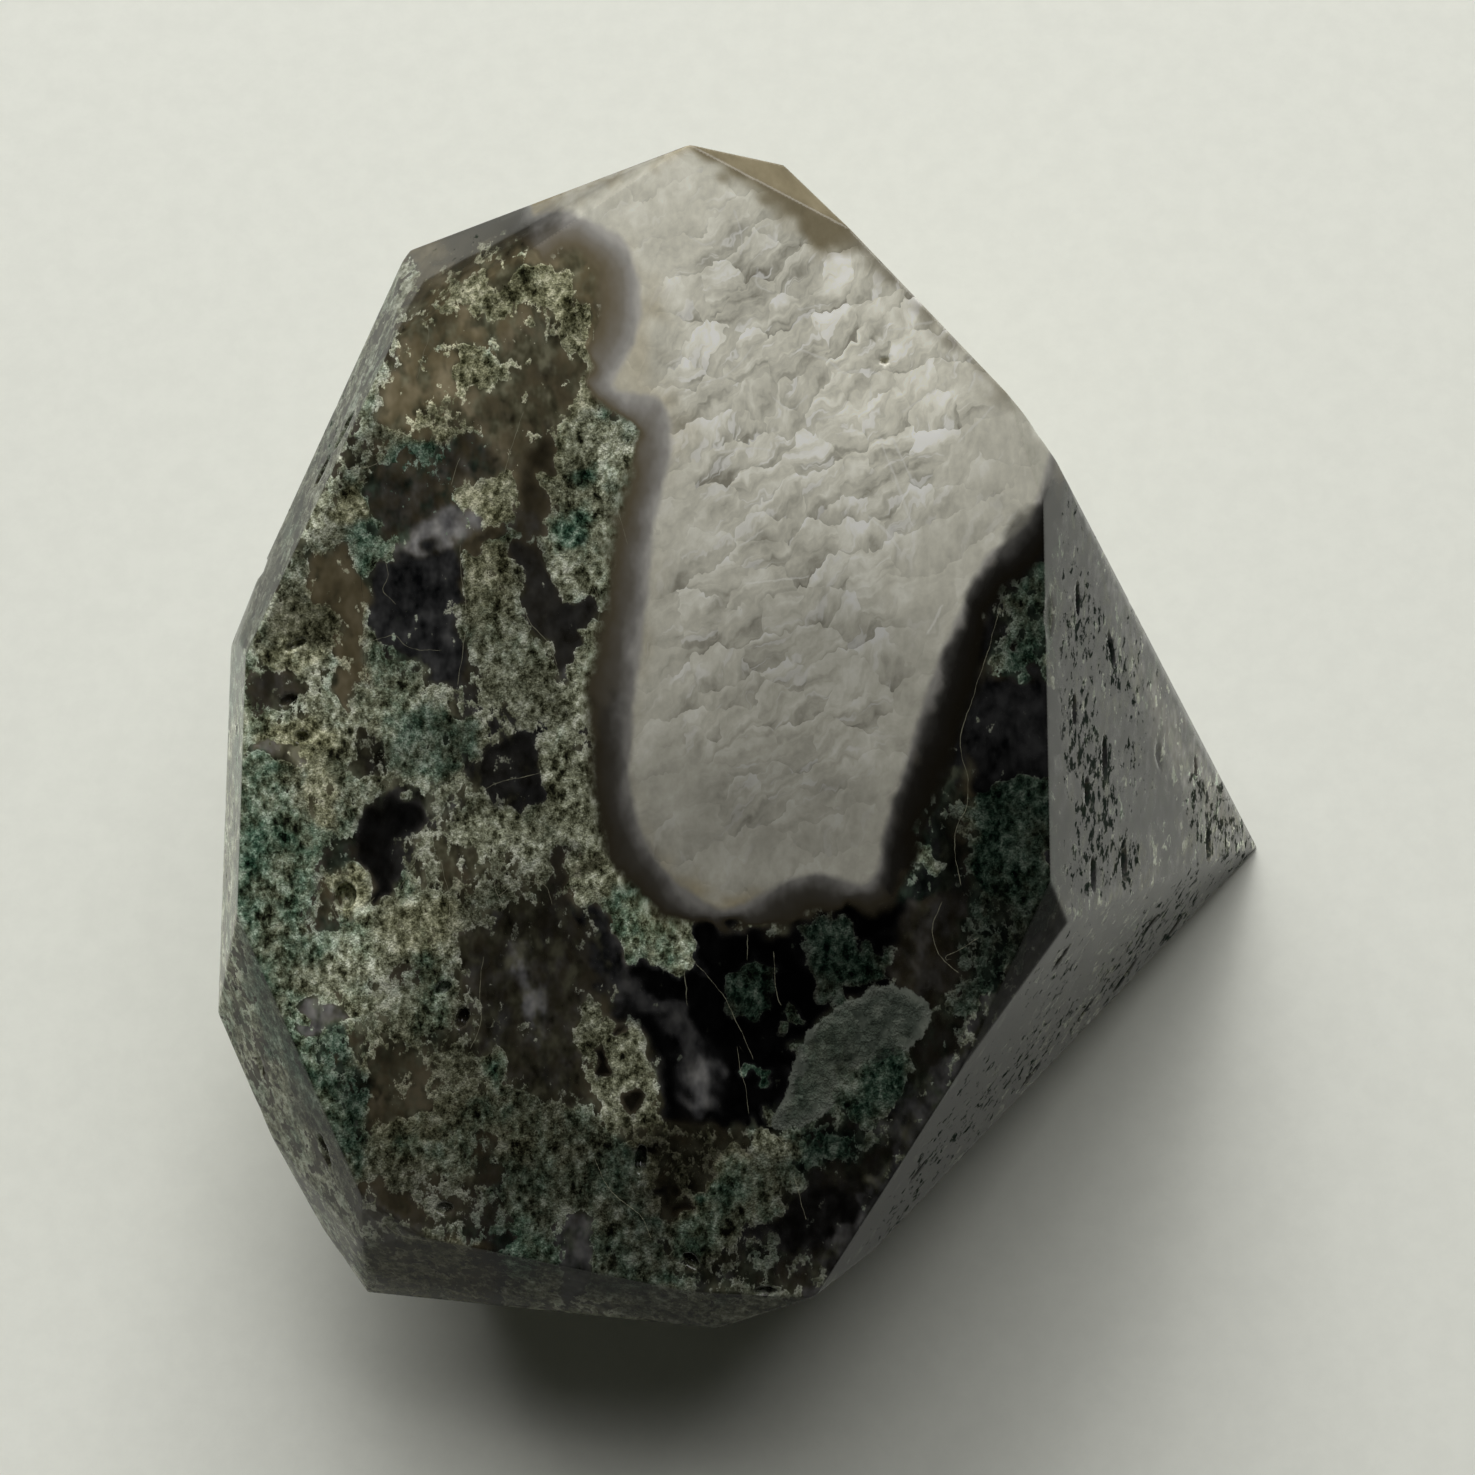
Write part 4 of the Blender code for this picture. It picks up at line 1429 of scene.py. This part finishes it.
    def ramp(self, value: Sockets, stops: dict[float, Triple]) -> Sockets:
        """Runs a colour through stops as the value goes from 0 to 1.

        Args:
            value: The value.
            stops: The colour on a screen at each value, from the lowest up.

        Returns:
            The colour.
        """
        node = self.node("ValToRGB", {0: value})
        elements = node.color_ramp.elements
        while len(elements) < len(stops):
            elements.new(0.5)
        for element, (position, colour) in zip(elements, stops.items()):
            element.position = position
            element.color = display_colour(*colour)
        return node.outputs["Color"]


@dataclass
class StoneLayers:
    """The layers of colour in the moss agate, which share three cloudy noises. A noise is given as its
    lumps to a millimetre, its number of finer noises and their strength."""

    bench: Bench
    moss_lean: float = -20.0
    moss_stretch: Triple = (1.0, 0.66, 1.0)
    slow_noise: Triple = (0.36, 3.0, 0.62)
    soft_noise: Triple = (0.95, 2.0, 0.55)
    lump_noise: Triple = (1.5, 4.0, 0.72)
    curl: Triple = (0.9, 0.9, 0.9)
    lace_cells: float = 1.9
    ledge_bend: Triple = (1.5, 1.5, 0.0)
    ledge_turn: float = 26.0
    ledge_stretch: Triple = (1.35, 0.9, 1.0)
    shell_cells: float = 0.42
    painted_highlight_side: Triple = (0.25, 1.0, 0.0)
    streak_squeeze: Triple = (0.4, 1.7, 1.0)
    streak_noise: Triple = (0.75, 3.0, 0.55)

    def __post_init__(self) -> None:
        """Sets out the coordinates and the noises that the layers share."""
        self.place = self.bench.place()
        lean = (math.radians(self.moss_lean), 0.0, 0.0)
        mapping = {"Vector": self.place, "Rotation": lean, "Scale": self.moss_stretch}
        self.streaked = self.bench.node("Mapping", mapping).outputs[0]
        self.slow = self.bench.clouds(self.streaked, *self.slow_noise)
        self.soft = self.bench.clouds(self.streaked, *self.soft_noise)
        self.lumps = self.bench.clouds(self.streaked, *self.lump_noise)

    def colour(self) -> tuple[Sockets, Sockets]:
        """Lays every layer over the ones below it.

        Returns:
            The colour of the polished stone, and the share of it that is moss at the surface.
        """
        bench = self.bench
        moss, cover = self.crisp_moss()
        body = bench.mix(cover, self.blurred_moss(self.clear_body()), moss)
        # Painted light and shade: the painted light field scales the colour of the moss and clear stone
        shade = bench.times(bench.add(bench.times(bench.field("light"), 1.7), 0.04), bench.field("painted_light"))
        body = self.slab(bench.scaled(body, shade))
        return self.strands(self.quartz(self.chalcedony(body))), cover

    def clear_body(self) -> Sockets:
        """Clear agate: near black, smoky brown or milky, as the fields say.

        Returns:
            Its colour.
        """
        bench, soft = self.bench, self.soft
        brown = bench.ramp(self.slow[0], {0.32: (66, 60, 44), 0.5: (102, 93, 70), 0.66: (132, 122, 98)})
        black = bench.ramp(soft[1], {0.3: (18, 19, 20), 0.7: (72, 72, 72)})
        base = bench.mix(bench.field("brown"), black, brown)
        milky = bench.ramp(soft[0], {0.3: (86, 85, 86), 0.5: (128, 127, 126), 0.7: (160, 158, 154)})
        veil = bench.field("veil")
        share = bench.step(bench.add(bench.times(soft[1], 0.6), bench.times(veil, 0.62)), 0.42, 0.96)
        return bench.mix(bench.times(share, bench.step(veil, 0.0, 0.35)), base, milky)

    def blurred_moss(self, below: Sockets) -> Sockets:
        """Moss that lies deep in the stone and shows soft and dark.

        Args:
            below: The colour that it lies over.

        Returns:
            The colour with the moss.
        """
        bench, soft = self.bench, self.soft
        spread = bench.add(bench.times(bench.field("deep"), 0.42), bench.times(bench.field("moss"), 0.32))
        cover = bench.step(bench.add(spread, soft[2]), 0.66, 0.98)
        olive = bench.ramp(soft[0], {0.3: (34, 32, 22), 0.5: (80, 78, 60), 0.68: (122, 120, 98)})
        teal = bench.ramp(soft[0], {0.3: (12, 20, 15), 0.5: (44, 58, 48), 0.68: (84, 100, 86)})
        green = bench.add(bench.field("green"), bench.swing(self.slow[1], 1.2))
        colour = bench.mix(bench.step(green, 0.2, 0.9), olive, teal)
        return bench.mix(bench.times(cover, 0.9), below, colour)

    def crisp_moss(self) -> tuple[Sockets, Sockets]:
        """Moss at the surface: crumpled lumps with curled ridges, and a pale thin edge round each gap.

        Returns:
            Its colour, and the share of the surface that it covers.
        """
        bench, slow, soft, lumps = self.bench, self.slow, self.soft, self.lumps
        curled = bench.vector("MULTIPLY_ADD", lumps.colour, self.curl, self.streaked)
        cells = bench.node("TexVoronoi", {"Vector": curled, "Scale": self.lace_cells}).outputs["Distance"]
        lace = bench.add(cells, -0.42)
        curl = bench.maths("ABSOLUTE", bench.add(lumps[1], -0.5))
        ridge = bench.step(curl, 0.0, 0.075, 1.0, 0.0)
        ragged = bench.add(bench.swing(lumps[0], 1.5), bench.swing(slow[2], 0.9), bench.swing(soft[1], 1.1))
        level = bench.add(bench.field("moss"), bench.add(ragged, bench.times(lace, 0.36)))
        cover = bench.step(level, 0.4, 0.5)
        edge = bench.step(level, 0.48, 0.72, 0.24, 0.0)
        relief = bench.add(bench.swing(lumps[2], 1.9), bench.times(lace, 0.62))
        relief = bench.add(relief, bench.swing(slow[0], 1.1), bench.swing(soft[1], 0.8))
        relief = bench.add(relief, bench.times(ridge, 0.2), bench.add(edge, 0.37))
        pale = bench.ramp(relief, {
            0.02: (22, 22, 15), 0.25: (66, 67, 49), 0.5: (118, 120, 98), 0.75: (160, 163, 140),
            1.0: (208, 210, 190),
        })
        teal = bench.ramp(relief, {
            0.02: (4, 12, 8), 0.25: (26, 52, 38), 0.5: (72, 98, 80), 0.75: (118, 142, 122),
            1.0: (176, 194, 174),
        })
        green = bench.add(bench.field("green"), bench.swing(slow[1], 1.5), bench.swing(lumps[2], 0.9))
        yellow = bench.mix(1.0, pale, display_colour(240, 229, 196), "MULTIPLY")
        pale = bench.mix(bench.step(bench.field("brown"), 0.4, 1.0, 0.0, 0.5), pale, yellow)
        return bench.mix(bench.step(green, 0.25, 1.05), pale, teal), cover

    def slab(self, below: Sockets) -> Sockets:
        """The pale grey fan near the right edge, which is brightest along its ragged rim.

        Args:
            below: The colour that it lies over.

        Returns:
            The colour with the fan.
        """
        bench, soft, lumps = self.bench, self.soft, self.lumps
        depth = bench.field("slab")
        tone = bench.add(bench.times(soft[0], 0.6), bench.times(lumps[1], 0.4))
        body = bench.ramp(tone, {0.34: (44, 50, 43), 0.5: (68, 74, 66), 0.64: (98, 103, 93)})
        edge = bench.step(bench.add(depth, bench.swing(lumps[2], 1.6)), 0.0, 1.0, 1.0, 0.0)
        colour = bench.mix(bench.times(edge, 0.45), body, display_colour(118, 121, 112))
        cover = bench.step(bench.add(depth, bench.swing(lumps[0], 1.3)), 0.0, 0.14)
        bare = bench.step(bench.field("moss"), 0.55, 0.8, 1.0, 0.2)
        return bench.mix(bench.times(cover, bare), below, colour)

    def chalcedony(self, below: Sockets) -> Sockets:
        """The smooth band round the quartz: pale grey beside it, and smoky brown farther out, with its colour
        scaled by the painted glow to a power that grows away from the quartz.

        Args:
            below: The colour that it lies over.

        Returns:
            The colour with the band.
        """
        bench = self.bench
        across = bench.add(bench.field("rim"), bench.swing(self.slow[1], 0.8))
        across = bench.add(across, bench.swing(self.soft[1], 0.25))
        colour = bench.ramp(bench.times(across, 0.7), {
            0.0: (176, 173, 166), 0.14: (146, 143, 137), 0.34: (116, 111, 101), 0.62: (98, 90, 73),
            0.9: (84, 77, 59),
        })
        # Painted glow and shade on the band: its colour is scaled by the painted glow field to a power
        power = bench.step(across, 0.0, 0.6, 1.4, 2.4)
        painted_glow_share = bench.add(bench.maths("POWER", bench.field("painted_glow"), power), 0.02)
        return bench.mix(bench.step(across, 0.9, 1.5, 1.0, 0.0), below, bench.scaled(colour, painted_glow_share))

    def quartz_sheet(self) -> Sockets:
        """Flat coordinates for the quartz: leant so that steep faces aren't stretched, bent by the noises,
        and turned and drawn out along its ledges.

        Returns:
            The coordinates.
        """
        bench = self.bench
        spot = bench.node("SeparateXYZ", {0: self.place}).outputs
        over = bench.add(spot[0], bench.times(spot[2], 0.3))
        up = bench.times(bench.add(spot[1], bench.times(spot[2], 0.8)), 0.78)
        bent = bench.node("CombineXYZ", {0: over, 1: up}).outputs[0]
        for noise in (self.soft, self.slow):
            bent = bench.vector("MULTIPLY_ADD", noise.colour, self.ledge_bend, bent)
        turn = (0.0, 0.0, math.radians(self.ledge_turn))
        mapping = {"Vector": bent, "Rotation": turn, "Scale": self.ledge_stretch}
        return bench.node("Mapping", mapping, vector_type="TEXTURE").outputs[0]

    def quartz(self, below: Sockets) -> Sockets:
        """Crystal quartz: shell-shaped patches, each painted bright along its upper side and shaded below,
        and streaked its own way, with painted glints and a painted glow.

        Args:
            below: The colour that it lies over.

        Returns:
            The colour with the quartz.
        """
        bench, soft, lumps, stir = self.bench, self.soft, self.lumps, self.bench.field("stir")
        sheet = self.quartz_sheet()
        cells = {"Vector": sheet, "Scale": self.shell_cells}
        shell = bench.node("TexVoronoi", cells, voronoi_dimensions="2D").outputs
        chance = bench.node("SeparateColor", {0: shell["Color"]}).outputs
        # Painted highlight and shade: each patch is brighter along its upper side and darker along its lower
        # side
        local = {0: bench.vector("SUBTRACT", sheet, shell["Position"]), 1: self.painted_highlight_side}
        rise = bench.node("VectorMath", local, operation="DOT_PRODUCT").outputs["Value"]
        spin = {"Vector": sheet, "Angle": bench.add(bench.times(chance[2], -1.5), 0.4)}
        spun = bench.node("VectorRotate", spin, rotation_type="Z_AXIS").outputs[0]
        streak = bench.clouds(bench.vector("MULTIPLY", spun, self.streak_squeeze), *self.streak_noise, "2D")
        patch = bench.add(bench.times(rise, chance[0], 0.27), bench.swing(chance[1], 0.16))
        patch = bench.add(patch, bench.swing(streak[0], 0.95))
        tone = bench.add(bench.times(patch, stir), bench.swing(lumps[1], 0.3), bench.swing(soft[2], 0.3))
        tone = bench.add(tone, bench.add(bench.swing(self.slow[2], 0.6), 0.52))
        colour = bench.ramp(tone, {
            0.1: (150, 147, 134), 0.36: (202, 200, 186), 0.56: (226, 224, 209), 0.74: (246, 245, 232),
            0.88: (255, 255, 250),
        })
        # Painted glints: small bright flecks in the quartz
        painted_glint = bench.step(bench.add(streak[2], bench.times(chance[0], 0.1)), 0.66, 0.74)
        colour = bench.mix(bench.times(painted_glint, bench.times(stir, 0.55)), colour, display_colour(255, 255, 252))
        flaw = bench.step(bench.add(streak[1], bench.times(lumps[0], 0.35)), 0.31, 0.4, 0.3, 0.0)
        colour = bench.mix(bench.times(flaw, stir), colour, display_colour(120, 116, 108))
        stained = bench.mix(1.0, colour, display_colour(190, 174, 140), "MULTIPLY")
        # Painted light: the quartz's colour is scaled by the painted glow field
        colour = bench.scaled(bench.mix(bench.field("brown"), colour, stained), bench.field("painted_glow"))
        depth = bench.add(bench.field("quartz"), bench.swing(soft[0], 0.5))
        return bench.mix(bench.step(depth, -0.2, 0.34), below, colour)

    def strands(self, below: Sockets) -> Sockets:
        """Fine pale strands, bright wisps in the quartz that are pale crack lines partly painted as glints,
        and a few dark cracks.

        Args:
            below: The colour that they lie over.

        Returns:
            The colour with the lines.
        """
        bench = self.bench
        offset = bench.maths("ABSOLUTE", bench.add(bench.field("line"), bench.swing(self.soft[0], 0.3)))
        quartz = bench.field("quartz")
        width = bench.step(self.lumps[0], 0.35, 0.65, 0.012, 0.042)
        width = bench.times(width, bench.step(quartz, -0.2, 0.5, 1.0, 4.0))
        cover = bench.step(offset, bench.times(width, 0.2), width, 1.0, 0.0)
        near = bench.step(bench.field("line_gap"), 0.12, 0.32, 1.0, 0.0)
        # The wisps' near-white colour is partly a painted glint
        strand, glint_wisp = display_colour(150, 148, 126), display_colour(250, 249, 244)
        bright = bench.mix(bench.step(quartz, -0.2, 0.3), strand, glint_wisp)
        colour = bench.mix(bench.field("line_tone"), display_colour(24, 22, 16), bright)
        share = bench.step(quartz, -0.2, 0.5, 0.55, 0.3)
        return bench.mix(bench.times(cover, near, share), below, colour)

    def pits(self) -> Sockets:
        """Share of the surface that is open and unpolished, in short streaks on the walls."""
        level = self.bench.add(self.lumps[2], self.bench.times(self.bench.field("pits"), 0.24))
        return self.bench.times(self.bench.step(level, 0.7, 0.76), self.bench.field("wall"))


@dataclass(frozen=True)
class MossAgateFinish:
    """Polished moss agate: a body that shines only through the clear polish over it."""

    polish: float = 0.07
    refraction: float = 1.54
    body_shine: float = 0.0
    relief: float = 0.45
    relief_noise: Triple = (1.5, 3.0, 0.72)

    def build(self) -> bpy.types.Material:
        """Wires the whole finish.

        Returns:
            The material.
        """
        bench = Bench("polished_moss_agate")
        layers = StoneLayers(bench)
        body, cover = layers.colour()
        pits = layers.pits()
        mossy = bench.times(cover, bench.step(bench.field("rim"), 1.1, 1.7))
        relief = {
            "Height": bench.noise(layers.streaked, *self.relief_noise).outputs[0],
            "Strength": bench.step(mossy, 0.0, 1.0, 0.02, 0.85),
            "Distance": self.relief * MM,
        }
        return bench.dress({
            "Base Color": bench.mix(bench.times(pits, 0.75), body, display_colour(38, 48, 41)),
            "Roughness": bench.step(pits, 0.0, 1.0, 0.45, 0.85),
            "Normal": bench.node("Bump", relief).outputs[0],
            "IOR": self.refraction,
            "Specular IOR Level": self.body_shine,
            "Coat Weight": bench.times(bench.step(pits, 0.1, 0.9, 1.0, 0.0), bench.field("gloss")),
            "Coat IOR": self.refraction,
            "Coat Roughness": self.polish,
        })


@dataclass
class MossAgateStone:
    """The stone: its surface, its markings and its finish."""

    surface: GroundSurface
    markings: Markings
    finish: MossAgateFinish

    def build(self) -> bpy.types.Object:
        """Makes the stone's mesh with its fields of numbers and dresses it.

        Returns:
            The stone.
        """
        points, triangles = self.surface.build()
        fields = self.markings.paint(points)
        # Painted light and shade by face: each face's factor scales the painted light and painted glow fields
        painted_light_factor, gloss = self.surface.shares(points).T
        fields["painted_light"] *= painted_light_factor
        fields["painted_glow"] *= painted_light_factor
        fields["gloss"] = gloss
        shaped = self.surface.sink_cavities(self.surface.round_edges(points))
        mesh = bpy.data.meshes.new("polished_" + PIECE)
        mesh.vertices.add(len(shaped))
        mesh.vertices.foreach_set("co", (shaped * MM).astype(np.float32).ravel())
        mesh.loops.add(triangles.size)
        mesh.loops.foreach_set("vertex_index", triangles.astype(np.int32).ravel())
        mesh.polygons.add(len(triangles))
        mesh.polygons.foreach_set("loop_start", np.arange(0, triangles.size, 3, dtype=np.int32))
        mesh.update(calc_edges=True)
        mesh.shade_smooth()
        for name, values in fields.items():
            mesh.attributes.new(name, "FLOAT", "POINT").data.foreach_set("value", values.astype(np.float32))
        mesh.materials.append(self.finish.build())
        stone = bpy.data.objects.new("polished_stone", mesh)
        bpy.context.scene.collection.objects.link(stone)
        return stone


@dataclass(frozen=True)
class PaperFinish:
    """Matt pale paper with a faint fibre."""

    colour: Triple = (228.0, 229.0, 219.0)
    fibre: float = 0.02
    fibre_noise: Triple = (0.4, 5.0, 0.7)
    roughness: float = 0.9
    shine: float = 0.1

    def build(self) -> bpy.types.Material:
        """Wires the paper's finish.

        Returns:
            The material.
        """
        bench = Bench("pale_paper")
        cloud = bench.noise(bench.place(), *self.fibre_noise).outputs[0]
        light = display_colour(*self.colour)
        dark = (*(value * (1.0 - 2.0 * self.fibre) for value in light[:3]), 1.0)
        return bench.dress({
            "Base Color": bench.mix(bench.step(cloud, 0.3, 0.7), dark, light),
            "Roughness": self.roughness,
            "Specular IOR Level": self.shine,
        })


@dataclass
class Table:
    """A pale round sheet that curves up far behind the stone on all sides."""

    middle_radius: float = 1.0
    flat_radius: float = 1600.0
    bend: float = 600.0
    sides: int = 96
    rings: int = 40
    finish: PaperFinish = PaperFinish()

    def build(self) -> bpy.types.Object:
        """Turns the profile round the z axis: flat to the radius, then a quarter circle up.

        Returns:
            The sheet.
        """
        flat = np.linspace(self.middle_radius, self.flat_radius, self.rings)
        turn = np.linspace(0.0, np.pi / 2, self.rings)[1:]
        radius = np.concatenate([flat, self.flat_radius + self.bend * np.sin(turn)])
        height = np.concatenate([np.zeros(self.rings), self.bend * (1.0 - np.cos(turn))])
        around = np.linspace(0.0, 2.0 * np.pi, self.sides, endpoint=False)
        x = radius[:, None] * np.cos(around)
        y = radius[:, None] * np.sin(around)
        z = np.repeat(height[:, None], self.sides, axis=1)
        points = np.stack([x, y, z], axis=2).reshape(-1, 3) * MM
        row = np.arange(len(radius) - 1)[:, None] * self.sides
        column = np.arange(self.sides)[None]
        following = (column + 1) % self.sides
        outer = row + self.sides
        quads = np.stack([row + column, outer + column, outer + following, row + following], axis=2)
        faces = [list(range(self.sides))] + quads.reshape(-1, 4).tolist()
        mesh = bpy.data.meshes.new("pale_sheet")
        mesh.from_pydata(points.tolist(), [], faces)
        mesh.shade_smooth()
        mesh.materials.append(self.finish.build())
        sheet = bpy.data.objects.new("pale_sheet", mesh)
        bpy.context.scene.collection.objects.link(sheet)
        return sheet


@dataclass(frozen=True)
class SoftLamp:
    """A large soft square lamp: where it hangs round the stone, its power, and whether the polish
    mirrors it."""

    name: str
    azimuth: float
    elevation: float
    power: float
    mirrored: bool = False
    distance: float = 1500.0
    side: float = 900.0

    def hang(self) -> None:
        """Hangs the lamp so that it faces the stone."""
        data = bpy.data.lights.new(self.name, "AREA")
        data.shape = "SQUARE"
        data.size = self.side * MM
        data.energy = self.power
        lamp = bpy.data.objects.new(self.name, data)
        lamp.visible_glossy = self.mirrored
        lamp.visible_camera = False
        away = Vector(direction(self.azimuth, self.elevation))
        lamp.location = away * (self.distance * MM)
        lamp.rotation_euler = away.to_track_quat("Z", "Y").to_euler()
        bpy.context.scene.collection.objects.link(lamp)


@dataclass
class Studio:
    """Soft light from behind the stone and a dim room."""

    lamps: tuple[SoftLamp, ...] = (
        SoftLamp("window_low", 90.0, 22.0, 19.2),
        SoftLamp("window_left", 120.0, 42.0, 8.3),
        SoftLamp("window_high_right", 60.0, 62.0, 6.6, mirrored=True),
        SoftLamp("window_high_left", 120.0, 62.0, 2.8),
    )
    room: tuple[float, float, float, float] = (0.004, 0.004, 0.004, 1.0)

    def build(self) -> None:
        """Hangs the lamps, dims the room and sets a plain view of the light."""
        for lamp in self.lamps:
            lamp.hang()
        world = bpy.data.worlds.new("dim_room")
        world.use_nodes = True
        world.node_tree.nodes["Background"].inputs["Color"].default_value = self.room
        scene = bpy.context.scene
        scene.world = world
        scene.view_settings.view_transform = "Standard"


def main() -> None:
    """Builds the table, the light, the camera and the stone, and logs how many faces the table and the stone
    have.
    """
    logging.basicConfig(level=logging.INFO, format="%(name)s: %(message)s")
    view = PhotoView()
    view.set_camera()
    Studio().build()
    table = Table().build()
    LOG.info("%s: %d faces", table.name, len(table.data.polygons))
    stone = MossAgateStone(GroundSurface(), Markings(view), MossAgateFinish()).build()
    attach(stone, "root")
    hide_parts(PIECE)
    LOG.info("%s: %d triangles", stone.name, len(stone.data.polygons))


if __name__ == "__main__":
    main()
